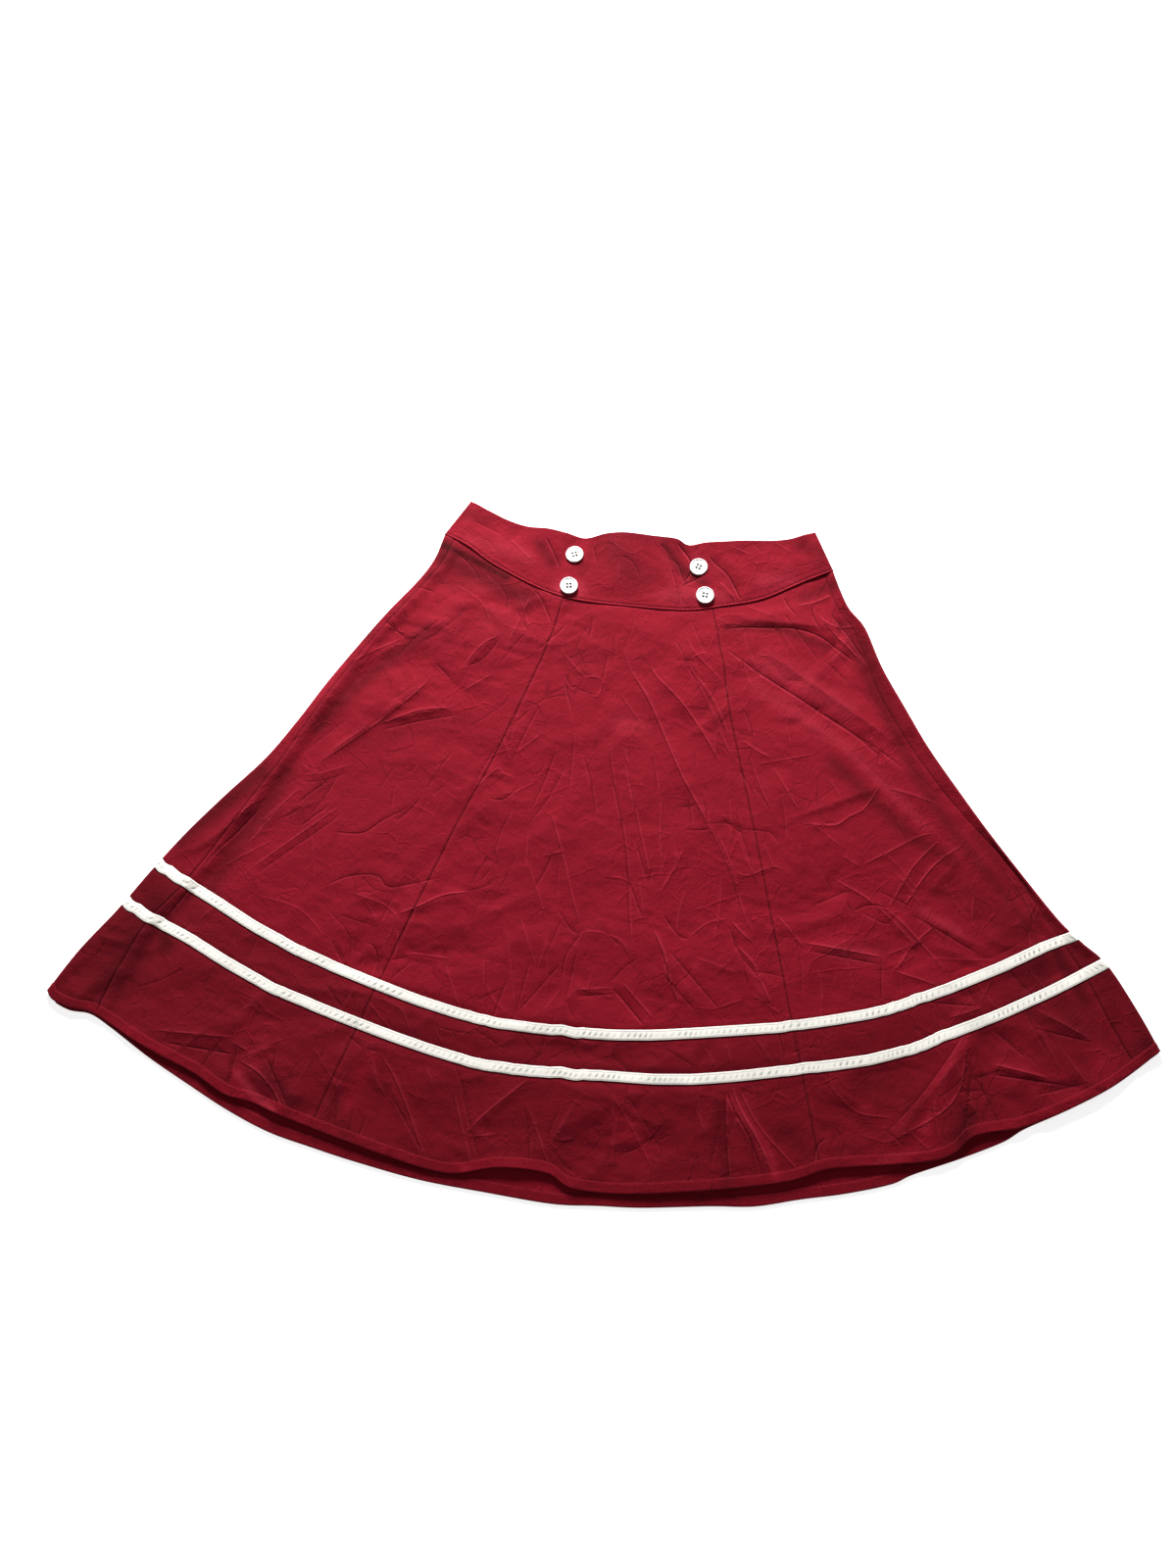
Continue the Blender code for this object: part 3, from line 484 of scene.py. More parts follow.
# Darker and lighter streaks of painted shade and painted light: half-width, share of the painted shade (below
# zero, painted light), then the points they run through
PAINTED_STREAKS = (
    (6, 2.4, (-195, 287), (-167, 275), (-128, 257)),
    (12, 1.6, (-193, 274), (-158, 256), (-106, 237)),
    (8, 1.0, (-204, 252), (-164, 245)),
    (6, 0.9, (-257, 191), (-277, 159)),
    (9, 1.6, (-203, 190), (-243, 152), (-275, 115), (-297, 82)),
    (11, 1.5, (-321, 35), (-337, -5), (-355, -34), (-376, -82)),
    (11, 1.5, (-343, 34), (-378, -3), (-413, -38)),
    (7, 0.8, (-371, -60), (-385, -86)),
    (9, 1.3, (-413, -131), (-410, -141)),
    (18, 0.8, (-424, -108), (-438, -148), (-452, -180)),
    (7, 0.8, (-506, -196), (-475, -209)),
    (6, -0.8, (-266, 172), (-311, 106), (-336, 70)),
    (8, 0.8, (-284, 25), (-303, -4)),
    (8, 0.5, (-262, 64), (-215, 84), (-150, 104)),
    (18, -0.2, (-290, 105), (-225, 170), (-180, 200)),
    (18, -0.2, (-140, 205), (-115, 200)),
    (8, 1.3, (215, 234), (235, 209), (245, 185)),
    (9, 1.4, (232, 205), (258, 145), (286, 87), (322, 30), (364, -20), (403, -73)),
    (12, 1.0, (350, 22), (382, -20), (415, -68)),
    (24, 1.0, (372, -55), (400, -95)),
    (18, 0.8, (322, -31), (387, -57)),
    (8, 1.2, (421, -82), (445, -123)),
    (8, -0.7, (-428, -224), (-368, -259), (-317, -281)),
    (8, -0.6, (355, -253), (421, -222), (489, -191)),
    (9, 1.4, (208, 87), (251, 47), (289, 16), (322, -3)),
    (8, -0.5, (130, 158), (190, 122), (240, 82), (296, 26)),
    (10, -0.5, (183, 162), (222, 141)),
    (12, -0.5, (138, 182), (176, 168)),
    (5, 1.4, (98, 220), (146, 222), (198, 206)),
    (7, 1.3, (174, 256), (205, 276)),
    (5, -0.5, (295, -53), (330, -70)),
    (7, -0.4, (210, -99), (254, -98)),
    (22, 0.2, (-60, 165), (-20, 178)),
    (12, -0.45, (2, 108), (18, 107)),
    (9, 0.3, (2, 88), (22, 88)),
    (14, 0.5, (205, -126), (255, -140)),
    (11, 0.5, (240, -216), (292, -226)),
    (14, 0.7, (425, -128), (446, -168)),
    (8, 0.7, (381, -133), (412, -143)),
    (7, -1.3, (298, -253), (315, -205), (336, -162)),
    (9, 1.4, (331, -256), (339, -235)),
    (10, -1.1, (256, -284), (303, -264)),
    (13, -0.9, (444, -163), (470, -194)),
    (7, -0.8, (362, -195), (423, -194)),
    (6, -0.6, (482, -128), (485, -155)),
    (7, 0.8, (502, -161), (506, -174)),
    (7, -1.8, (-324, -252), (-306, -268), (-288, -282)),
    (6, -1.1, (-337, -270), (-314, -276)),
    (7, 0.9, (-298, -248), (-272, -272)),
    (7, 0.8, (-235, -268), (-212, -312)),
    (7, -0.6, (-206, -228), (-226, -288)),
    (9, -0.9, (-111, -318), (-39, -316)),
    (10, -0.8, (23, -268), (46, -285)),
    (5, -1.3, (122, -240), (158, -276), (166, -300)),
    (6, 0.7, (112, -245), (124, -312)),
    (8, 0.6, (172, -262), (194, -280)),
)

# Streaks of painted shade and painted light on the front waistband, in the same columns
BAND_PAINTED_STREAKS = (
    (19, 1.1, (-22, 298), (10, 262)),
    (12, 1.0, (-34, 314), (34, 314)),
    (7, 1.0, (-20, 314), (13, 310)),
    (6, 1.7, (30, 306), (50, 280), (74, 265)),
    (9, 0.6, (72, 292), (100, 268)),
    (9, 0.6, (95, 312), (160, 318)),
    (9, 1.1, (169, 317), (192, 309)),
    (8, 1.0, (186, 300), (200, 284)),
    (8, 1.0, (-179, 327), (-155, 320)),
    (7, 1.4, (-97, 296), (-83, 276)),
    (9, -0.5, (-170, 297), (-106, 279)),
    (9, -1.1, (-70, 248), (-54, 250)),
    (9, -0.8, (15, 250), (92, 253)),
    (9, -0.7, (133, 272), (159, 279)),
    (12, 0.4, (-44, 271), (-15, 283)),
)


# ---------------------------------------------------------------- plan shape

def smooth_curve(points):
    """Curve through the points, as a function of the fraction of its length."""
    knots = np.array(points, float)
    ends = np.vstack((2 * knots[0] - knots[1], knots, 2 * knots[-1] - knots[-2]))
    steps = np.linspace(0, 1, CURVE_STEPS, endpoint=False)[:, None]
    spans = []
    for before, start, end, after in zip(ends, ends[1:], ends[2:], ends[3:]):
        spans.append(0.5 * (2 * start + (end - before) * steps
                            + (2 * before - 5 * start + 4 * end - after) * steps ** 2
                            + (3 * start - before - 3 * end + after) * steps ** 3))
    dense = np.vstack(spans + [knots[-1:]])
    length = np.concatenate(([0], np.cumsum(np.linalg.norm(np.diff(dense, axis=0), axis=1))))
    length /= length[-1]

    def at(fraction):
        return np.stack([np.interp(fraction, length, dense[:, axis]) for axis in (0, 1)], axis=-1)
    return at


def patch(top, bottom, left, right):
    """Plan of a four-sided sheet: (across, down), each from 0 to 1, to a point (x, y)."""
    top, bottom, left, right = (smooth_curve(edge) for edge in (top, bottom, left, right))
    corners = left(0.0), right(0.0), left(1.0), right(1.0)

    def at(across, down):
        across, down = np.broadcast_arrays(np.asarray(across, float), np.asarray(down, float))
        u, v = across[..., None], down[..., None]
        between_ends = (1 - v) * top(across) + v * bottom(across)
        between_sides = (1 - u) * left(down) + u * right(down)
        corner_blend = ((1 - v) * ((1 - u) * corners[0] + u * corners[1])
                        + v * ((1 - u) * corners[2] + u * corners[3]))
        return between_ends + between_sides - corner_blend
    return at


front_plan = patch(WAIST_SEAM, FRONT_HEM, LEFT_FOLD, RIGHT_FOLD)
back_plan = patch(WAIST_SEAM, BACK_HEM, LEFT_FOLD, RIGHT_FOLD)
band_plan = patch(BAND_TOP, WAIST_SEAM, (BAND_TOP[0], WAIST_SEAM[0]), (BAND_TOP[-1], WAIST_SEAM[-1]))


def solve(too_far, size):
    """Fraction, for each of size cases, at which too_far changes from false to true."""
    low, high = np.zeros(size), np.ones(size)
    for _ in range(HALVINGS):
        middle = (low + high) / 2
        beyond = too_far(middle)
        high = np.where(beyond, middle, high)
        low = np.where(beyond, low, middle)
    return (low + high) / 2


def line_down(line):
    """How far down the skirt's front a line from side to side lies, for each place across."""
    line = np.array(line, float)
    across = np.linspace(0, 1, LINE_POINTS)

    def below(down):
        point = front_plan(across, down)
        return point[:, 1] < np.interp(point[:, 0], line[:, 0], line[:, 1])
    down = solve(below, len(across))
    return lambda place: np.interp(place, across, down)


upper_tape_down = line_down(UPPER_TAPE)
lower_tape_down = line_down(LOWER_TAPE)


def row_lines(across):
    """Fractions down the skirt of the solids' rows, at one or more places across it."""
    across = np.asarray(across, float)
    column = np.linalg.norm(front_plan(across, 1.0) - front_plan(across, 0.0), axis=-1)
    upper, lower = upper_tape_down(across), lower_tape_down(across)
    half_tape = TAPE_WIDTH / 2 / column
    stops = (
        (GAP / 2 / column, 0),
        (upper - half_tape, ROWS_TO_TAPES),
        (upper + half_tape, 1),
        (lower - half_tape, ROWS_BETWEEN_TAPES),
        (lower + half_tape, 1),
        (1 - (HEM_DEPTH + HEM_STEP) / column, ROWS_TO_HEM),
        (1 - HEM_DEPTH / column, 1),
        (np.ones_like(column), 1),
    )
    rows = [stops[0][0]]
    for (start, _), (stop, count) in zip(stops, stops[1:]):
        rows += [start + (stop - start) * step / count for step in range(1, count + 1)]
    return np.array(rows)


UPPER_TAPE_ROW = ROWS_TO_TAPES
LOWER_TAPE_ROW = UPPER_TAPE_ROW + 1 + ROWS_BETWEEN_TAPES
HEM_ROW = LOWER_TAPE_ROW + 1 + ROWS_TO_HEM + 1
ROWS = HEM_ROW + 2
LAST_ROW = ROWS - 1
ROW_NUMBERS = np.arange(ROWS)


def down_at(row, across):
    """Fraction down the skirt at a row, whole or between two, and a place across."""
    row, across = np.broadcast_arrays(np.asarray(row, float), np.asarray(across, float))
    lines = row_lines(across)
    above = np.clip(np.floor(row).astype(int), 0, ROWS - 2)
    share = row - above
    start = np.take_along_axis(lines, above[None], 0)[0]
    stop = np.take_along_axis(lines, above[None] + 1, 0)[0]
    return start + (stop - start) * share


def seam_across(seam):
    """Place across the front, in each row, where a seam from waist to hem crosses it."""
    seam = smooth_curve(seam)(np.linspace(1, 0, LINE_POINTS))

    def right_of(across):
        point = front_plan(across, down_at(ROW_NUMBERS, across))
        return point[:, 0] > np.interp(point[:, 1], seam[:, 1], seam[:, 0])
    return solve(right_of, ROWS)


def row_widths():
    """Length of each row in millimetres, beside the left and beside the right fold."""
    nudge = 0.01
    widths = []
    for edge, inside in ((0.0, nudge), (1.0, 1 - nudge)):
        down = row_lines(edge)
        step = front_plan(inside, down) - front_plan(edge, down)
        widths.append(np.linalg.norm(step, axis=1) / nudge)
    return widths


left_seam, left_front, right_front, right_seam = (
    seam_across(seam) for seam in (LEFT_SIDE_SEAM, LEFT_FRONT_SEAM, RIGHT_FRONT_SEAM, RIGHT_SIDE_SEAM))
left_width, right_width = row_widths()
side_table = np.array(SIDE_SHAPE)
row_down = row_lines(0.5)
row_marks = row_down * np.linalg.norm(front_plan(0.5, 1.0) - front_plan(0.5, 0.0))


def at_row(table, row):
    """Value of a table with one entry a row, at rows that may lie between two."""
    return np.interp(row, ROW_NUMBERS, table)


def rows_between(start, stop, spacing):
    """Rows from start to stop, about spacing millimetres apart."""
    ends = at_row(row_marks, (start, stop))
    count = 2 * max(1, round((ends[1] - ends[0]) / spacing / 2))
    return np.interp(np.linspace(*ends, count + 1), row_marks, ROW_NUMBERS)


# ---------------------------------------------------------------- heights

def ease(x):
    """0 below 0, 1 above 1, and a smooth rise between."""
    x = np.clip(x, 0, 1)
    return x * x * (3 - 2 * x)


def fold_height(x, y, folds):
    """Sum of the folds: each is highest along its line and fades at both ends."""
    total = np.zeros_like(x)
    for x0, y0, x1, y1, width, height in folds:
        length_squared = (x1 - x0) ** 2 + (y1 - y0) ** 2
        along = ((x - x0) * (x1 - x0) + (y - y0) * (y1 - y0)) / length_squared
        aside = ((x - x0) * (y1 - y0) - (y - y0) * (x1 - x0)) / math.sqrt(length_squared)
        fade = ease(along / END_FADE) * ease((1 - along) / END_FADE)
        total += height * fade * np.exp(-(aside / width) ** 2)
    return total


def swell_height(x, y):
    """Sum of the broad swells."""
    total = np.zeros_like(x)
    for cx, cy, rx, ry, height in SWELLS:
        total += height * np.exp(-((x - cx) / rx) ** 2 - ((y - cy) / ry) ** 2)
    return total


def soft_floor(height):
    """Height kept above zero, with a soft bend where it nears it."""
    return 0.5 * (height + np.sqrt(height ** 2 + SOFTNESS))


def skirt_lift(row, across, points):
    """Height of the underside of the solids' top layer."""
    down = at_row(row_down, row)
    from_left, from_right = across * at_row(left_width, row), (1 - across) * at_row(right_width, row)
    left_inset = at_row(left_seam * left_width, row)
    right_inset = at_row((1 - right_seam) * right_width, row)
    left_roll, right_roll, left_panel, right_panel = (
        np.interp(down, side_table[:, 0], side_table[:, column]) for column in (1, 2, 3, 4))
    panel = left_panel + (right_panel - left_panel) * across
    rise = ease((from_left - left_inset) / LEFT_RISE) * ease((from_right - right_inset) / RIGHT_RISE)
    climb = FOLD_SHARE + (1 - FOLD_SHARE) * np.clip(from_left / left_inset, 0, 1)
    roll = (left_roll * climb * (1 - ease((from_left - left_inset) / SEAM_FALL))
            + right_roll * (1 - ease(from_right / right_inset)))
    x, y = points[..., 0], points[..., 1]
    inside = ease(from_left / SIDE_FADE) * ease(from_right / SIDE_FADE) * ease(down / WAIST_FADE)
    folds = crease_height(x, y, MAIN_FOLDS) + swell_height(x, y)
    hem_room = HEM_EXTRA * ease((down - HEM_ROOM_START) / HEM_ROOM_LENGTH)
    return CLOTH + GAP + hem_room + roll + soft_floor(panel * rise + folds * inside)


def band_lift(across, points):
    """Height of the underside of the front waistband."""
    from_end = np.minimum(across, 1 - across) * WAIST_WIDTH
    folds = fold_height(points[..., 0], points[..., 1], BAND_FOLDS)
    return BAND_CLOTH + GAP + ease(from_end / BAND_END) * soft_floor(BAND_SWELL + folds)


# Crisp creases: their depth, rounding and fade at both ends, the way to the key light, and the lengths of
# their flanks in half-widths
CREASE_DEPTH = 0.66
CREST_ROUNDING = 0.35
CREASE_FADE = 0.3
LIT_SIDE = (-0.25, 0.97)
STEEP_FLANK = 1.5
GENTLE_FLANK = 5.5

# Reach of the sharp line that the material draws along a crease
LINE_REACH = 3.6
LINE_FULL = 1.7
LINE_FADE = 0.14

# Scattered creases: where they lie, the point above the waist that most of them aim at, and their sizes
SCATTER_X = (-420, 430)
SCATTER_Y = (-310, 225)
SCATTER_AIM = (22, 500)
SCATTER_FLARE = 0.55
SCATTER_WIDTH = 2.6
SCATTER_HEIGHT = (0.2, 0.55)
SCATTER_BEND = 0.10
SHORTEST_HALF = 7
LONG_HALF, SHORT_HALF = 34, 18
ALONG_SPREAD, ACROSS_SPREAD = 0.16, 0.9
ACROSS_SHARE, ACROSS_SHARE_LOW = 0.22, 0.33
LOW_START, LOW_LENGTH = 40, 160


def scattered_creases(count, seed):
    """Short straight creases in drifts: most run up the gores, towards the waist, and some across."""
    random = np.random.RandomState(seed)
    creases = []
    while len(creases) < count:
        x, y = random.uniform(*SCATTER_X), random.uniform(*SCATTER_Y)
        low = ease((LOW_START - y) / LOW_LENGTH)
        if lattice_noise(np.array(x), np.array(y), 70, 81) < random.uniform(-0.6, 0.5) - 0.25 * low:
            continue
        aim_x, aim_y = SCATTER_AIM
        heading = math.atan2(aim_y - SCATTER_FLARE * abs(x - aim_x) - y, aim_x - x)
        across = random.uniform() < ACROSS_SHARE + ACROSS_SHARE_LOW * low
        heading += random.normal(0, ACROSS_SPREAD if across else ALONG_SPREAD)
        half = random.uniform(SHORTEST_HALF, SHORT_HALF if across else LONG_HALF)
        bend = random.uniform(-SCATTER_BEND, SCATTER_BEND) * half
        ahead, aside = (math.cos(heading), math.sin(heading)), (-math.sin(heading), math.cos(heading))
        height = random.uniform(*SCATTER_HEIGHT) * random.choice((-1, -1, 1))
        points = ((x + reach * ahead[0] + offset * aside[0], y + reach * ahead[1] + offset * aside[1])
                  for reach, offset in ((-half, 0), (0, bend), (half, 0)))
        creases.append((SCATTER_WIDTH, height, *points))
    return tuple(creases)


def near_creases(x, y, creases):
    """For each crease: width, height, the points near it, their distance from it, place along it, and side.

    The side is above zero towards the light, and below zero beyond the crease.
    """
    for width, height, *points in creases:
        line = smooth_curve(points)(np.linspace(0, 1, 4 * len(points)))
        near = np.ones(x.shape, bool)
        reach = GENTLE_FLANK * width
        for place, axis in ((x, 0), (y, 1)):
            near &= (place > line[:, axis].min() - reach) & (place < line[:, axis].max() + reach)
        if not near.any():
            continue
        px, py = x[near], y[near]
        away = np.full(px.shape, np.inf)
        place_along, lit_side = np.zeros(px.shape), np.zeros(px.shape)
        for index, (start, stop) in enumerate(zip(line, line[1:])):
            step = stop - start
            long = math.hypot(*step)
            lit = (-step[1] * LIT_SIDE[0] + step[0] * LIT_SIDE[1]) / long
            dx, dy = px - start[0], py - start[1]
            along = np.clip((dx * step[0] + dy * step[1]) / long ** 2, 0, 1)
            distance = np.hypot(dx - along * step[0], dy - along * step[1])
            turn = np.sign(dy * step[0] - dx * step[1])
            closer = distance < away
            away = np.where(closer, distance, away)
            place_along = np.where(closer, (index + along) / (len(line) - 1), place_along)
            lit_side = np.where(closer, turn * lit, lit_side)
        yield width, height, near, away, place_along, lit_side


def crease_height(x, y, creases):
    """Sum of the creases: a crest along each line, gentle on its lit side and steep beyond."""
    total = np.zeros_like(x)
    for width, height, near, away, along, lit_side in near_creases(x, y, creases):
        lean = 0.5 * (1 + lit_side * math.copysign(1, height))
        flank = width * (STEEP_FLANK + (GENTLE_FLANK - STEEP_FLANK) * lean)
        away = np.sqrt(away ** 2 + CREST_ROUNDING ** 2) - CREST_ROUNDING
        fade = ease(along / CREASE_FADE) * ease((1 - along) / CREASE_FADE)
        total[near] += CREASE_DEPTH * height * fade * np.clip(1 - away / flank, 0, 1) ** 2
    return total


def crease_lines(x, y, creases):
    """Distance from the nearest crease, above zero on its bright side, and its signed height."""
    closest = np.full(x.shape, 2 * LINE_REACH)
    distance, strength = np.full(x.shape, LINE_REACH), np.zeros(x.shape)
    for _, height, near, away, along, lit_side in near_creases(x, y, creases):
        closer = away < closest[near]
        side = np.where(lit_side * height >= 0, 1.0, -1.0)
        fade = ease(along / LINE_FADE) * ease((1 - along) / LINE_FADE)
        reach = np.clip((LINE_REACH - away) / (LINE_REACH - LINE_FULL), 0, 1)
        closest[near] = np.where(closer, away, closest[near])
        distance[near] = np.where(closer, np.minimum(away, LINE_REACH) * side, distance[near])
        strength[near] = np.where(closer, height * fade * reach, strength[near])
    return distance, strength


def painted_streaks(x, y, tones):
    """Soft streaks of painted shade, below zero for painted light."""
    darkest, lightest = np.zeros_like(x), np.zeros_like(x)
    for width, amount, near, away, *_ in near_creases(x, y, tones):
        streak = amount * np.exp(-(away / width) ** 2)
        darkest[near] = np.maximum(darkest[near], streak)
        lightest[near] = np.minimum(lightest[near], streak)
    return darkest + lightest


# Lattices of random values: their size, where the skirt's origin lies on them, the facets' bend and height
LATTICE = 64
NOISE_ORIGIN = (31.3, 17.7)
FACET_ORIGIN = (31.3, 27.1)
FACET_BEND = 0.42
FACET_HEIGHT = 0.8


def lattice_corners(u, v, seed):
    """Place within the cell of a random lattice, and a function for the values at the cell's corners."""
    values = np.random.RandomState(seed).uniform(-1, 1, (LATTICE, LATTICE))
    column, row = np.floor(u).astype(int), np.floor(v).astype(int)

    def corner(right, up):
        return values[(row + up) % LATTICE, (column + right) % LATTICE]
    return u - column, v - row, corner


def lattice_noise(x, y, cell, seed):
    """Smooth random values from -1 to 1, one for each cell of a lattice."""
    s, t, corner = lattice_corners(x / cell + NOISE_ORIGIN[0], y / cell + NOISE_ORIGIN[1], seed)
    s, t = ease(s), ease(t)
    return ((1 - t) * ((1 - s) * corner(0, 0) + s * corner(1, 0))
            + t * ((1 - s) * corner(0, 1) + s * corner(1, 1)))


def facets(x, y, cell, seed, turn):
    """Random flat facets from -1 to 1, on a bent lattice of triangles."""
    x = x + FACET_BEND * cell * lattice_noise(x, y, 1.3 * cell, seed + 1)
    y = y + FACET_BEND * cell * lattice_noise(x, y, 1.1 * cell, seed + 2)
    u = (math.cos(turn) * x + math.sin(turn) * y) / cell + FACET_ORIGIN[0]
    v = (math.cos(turn) * y - math.sin(turn) * x) / (FACET_HEIGHT * cell) + FACET_ORIGIN[1]
    s, t, corner = lattice_corners(u + 0.5 * v, v, seed)
    low = corner(0, 0) + (corner(1, 0) - corner(0, 0)) * s + (corner(0, 1) - corner(0, 0)) * t
    high = corner(1, 1) + (corner(0, 1) - corner(1, 1)) * (1 - s) + (corner(1, 0) - corner(1, 1)) * (1 - t)
    return np.where(s + t < 1, low, high)


# Crumple: cell size, height, seed and turn of each layer of facets, and the calmer stretch at mid-height
CRUMPLE = ((58, 1.15, 11, 0.5), (31, 0.8, 21, 1.2), (15, 0.34, 31, 0.2))
CALM_Y, CALM_HALF, CALM_EDGE = 10, 50, 60


def crumple(x, y):
    """Small random facets and swells of cloth that has lain folded."""
    strength = (0.65 + 0.5 * lattice_noise(x, y, 90, 7)
                + 0.35 * ease((abs(y - CALM_Y) - CALM_HALF) / CALM_EDGE))
    total = 0.5 * lattice_noise(x, y, 75, 5)
    for cell, height, seed, turn in CRUMPLE:
        total += height * strength * facets(x, y, cell, seed, turn)
    return total


SCATTERED = 300
SCATTER_SEED = 91
SKIRT_CREASES = CREASES + scattered_creases(SCATTERED, SCATTER_SEED)

# Seams: the trough along each, the ridges of its turned allowances, and its puckers
SEAM_WIDTH = 1.0
SEAM_DEPTH = 0.5
ALLOWANCE_PLACE = 4.5
ALLOWANCE_WIDTH = 3.5
ALLOWANCE_HEIGHT = 0.08
PUCKER_LENGTH = 17.0
PUCKER_HEIGHT = 0.07
PUCKER_WIDTH = 9.0


def seam_relief(row, across):
    """Trough of each seam with the ridges of its turned allowances and a few puckers."""
    total = np.zeros(np.broadcast(row, across).shape)
    width = at_row((left_width + right_width) / 2, row)
    along = at_row(row_marks, row)
    for number, seam in enumerate((left_seam, left_front, right_front, right_seam)):
        away = (across - at_row(seam, row)) * width
        pucker = np.sin(2 * math.pi * along / PUCKER_LENGTH + 2.4 * number
                        + 1.7 * lattice_noise(along, 90.0 * number + 0 * along, 40, 51))
        total -= SEAM_DEPTH * np.exp(-(away / SEAM_WIDTH) ** 2)
        ridge = np.exp(-((np.abs(away) - ALLOWANCE_PLACE) / ALLOWANCE_WIDTH) ** 2)
        total += ALLOWANCE_HEIGHT * ridge + PUCKER_HEIGHT * pucker * np.exp(-(away / PUCKER_WIDTH) ** 2)
    return total


# How the creases calm down beside the tapes, the side folds and the waist seam, and the tapes' groove
TAPE_CALM = 0.35
TAPE_CALM_REACH = 9.0
TAPE_GROOVE = 0.35
GROOVE_PLACE = 0.7
FOLD_CALM_REACH = 12.0
WAIST_CALM = 0.3
WAIST_CALM_REACH = 18.0
SHEET_ROOM = 0.1
LEAST_ROOM = 0.2


def skirt_top(row, across, points):
    """Height of the outer face of the skirt's top layer, with all its creases."""
    row, across = np.broadcast_arrays(np.asarray(row, float), np.asarray(across, float))
    x, y = points[..., 0], points[..., 1]
    from_left, from_right = across * at_row(left_width, row), (1 - across) * at_row(right_width, row)
    near_fold = ease(from_left / FOLD_CALM_REACH) * ease(from_right / FOLD_CALM_REACH)
    near_waist = WAIST_CALM + (1 - WAIST_CALM) * ease(at_row(row_marks, row) / WAIST_CALM_REACH)
    calm, groove = np.ones_like(row), 0.0
    for tape_row in (UPPER_TAPE_ROW, LOWER_TAPE_ROW):
        away = np.abs(at_row(row_marks, row) - at_row(row_marks, tape_row + 0.5))
        calm *= 1 - (1 - TAPE_CALM) * (1 - ease((away - TAPE_WIDTH / 2) / TAPE_CALM_REACH))
        groove = groove + TAPE_GROOVE * np.exp(-(away - TAPE_WIDTH / 2 - GROOVE_PLACE) ** 2)
    fine = (crease_height(x, y, SKIRT_CREASES) + crumple(x, y)) * near_fold * near_waist * calm
    lift = skirt_lift(row, across, points) + CLOTH + SHEET_ROOM
    lowest = 2 * CLOTH + GAP + LEAST_ROOM
    return np.maximum(lift + fine, lowest) + seam_relief(row, across) * near_waist - groove


def raise_to(points, height):
    """Plan points with their heights."""
    return np.concatenate((points, np.asarray(height)[..., None]), axis=-1)


def normals_of(grid):
    """Unit normals of a grid of points, upward where its columns run left to right and rows down."""
    across = np.gradient(grid, axis=1)
    down = np.gradient(grid, axis=0)
    normal = np.cross(down, across)
    return normal / np.maximum(np.linalg.norm(normal, axis=-1), 1e-9)[..., None]


# ---------------------------------------------------------------- materials

class Value:
    """A socket's value in a material, for use in Python expressions."""

    def __init__(self, finish, socket):
        self.finish, self.socket = finish, socket

    def maths(self, operation, *terms):
        return self.finish.node("ShaderNodeMath", {"operation": operation}, dict(enumerate(terms)))

    def __add__(self, other):
        return self.maths("ADD", self, other)

    def __sub__(self, other):
        return self.maths("SUBTRACT", self, other)

    def __rsub__(self, other):
        return self.maths("SUBTRACT", other, self)

    def __mul__(self, other):
        return self.maths("MULTIPLY", self, other)

    def __truediv__(self, other):
        return self.maths("DIVIDE", self, other)

    def __abs__(self):
        return self.maths("ABSOLUTE", self)

    __radd__ = __add__
    __rmul__ = __mul__

    def sine(self):
        return self.maths("SINE", self)

    def clamp(self, low=0.0, high=1.0):
        return self.maths("MINIMUM", self.maths("MAXIMUM", self, low), high)


class Finish:
    """A new material and the nodes that are added to it."""

    def __init__(self, name, **constants):
        self.material = bpy.data.materials.new(name)
        self.material.use_nodes = True
        self.tree = self.material.node_tree
        self.shader = self.tree.nodes["Principled BSDF"]
        for socket, value in constants.items():
            self.shader.inputs[socket.replace("_", " ")].default_value = value

    def connect(self, socket, value):
        """Set a socket to a value, or link it."""
        if isinstance(value, Value):
            self.tree.links.new(value.socket, socket)
        elif hasattr(value, "__len__") and len(value) == 3 and socket.type == "RGBA":
            socket.default_value = (*value, 1)
        else:
            socket.default_value = value

    def node(self, kind, settings=None, sockets=None, output=0):
        """Add a node of a kind: its settings first, then the values or links of its sockets."""
        made = self.tree.nodes.new(kind)
        for setting, value in (settings or {}).items():
            setattr(made, setting, value)
        for socket, value in (sockets or {}).items():
            self.connect(made.inputs[socket], value)
        return Value(self, made.outputs[output])

    def mix(self, share, low, high):
        """Colour between two colours."""
        return self.node("ShaderNodeMix", {"data_type": "RGBA"}, {0: share, 6: low, 7: high}, 2)

    def noise(self, place, scale, detail=2.0, roughness=0.5):
        """Smooth noise from 0 to 1."""
        return self.node("ShaderNodeTexNoise", None, {
            "Vector": place, "Scale": scale, "Detail": detail, "Roughness": roughness})

    def place(self, output):
        """Texture coordinates: "UV" or "Object"."""
        return self.node("ShaderNodeTexCoord", None, None, output)

    def parts(self, place):
        """The x and y of a place, as two values."""
        split = self.tree.nodes.new("ShaderNodeSeparateXYZ")
        self.connect(split.inputs[0], place)
        return Value(self, split.outputs[0]), Value(self, split.outputs[1])

    def attribute(self, name):
        """Number stored on the mesh."""
        return self.node("ShaderNodeAttribute", {"attribute_name": name}, None, "Fac")

    def bump(self, height, distance, strength=1.0, normal=None):
        """Normal with small relief, its height in units of distance."""
        sockets = {"Height": height, "Distance": distance, "Strength": strength}
        if normal is not None:
            sockets["Normal"] = normal
        return self.node("ShaderNodeBump", None, sockets)

    def finish(self, **sockets):
        """Link the shader's varying sockets."""
        for socket, value in sockets.items():
            self.connect(self.shader.inputs[socket.replace("_", " ")], value)
        return self.material


# Lines that the cotton's material draws, in millimetres: painted shade and painted highlight on both sides of
# a crease, and painted shade beside a seam or a tape's edge
SHADED_PLACE = 0.4
LIT_PLACE = 1.5
LIT_REACH = 1.2
SEWN_SHADE_REACH = 6.0
SEWN_SHADE_LINE = 1.6


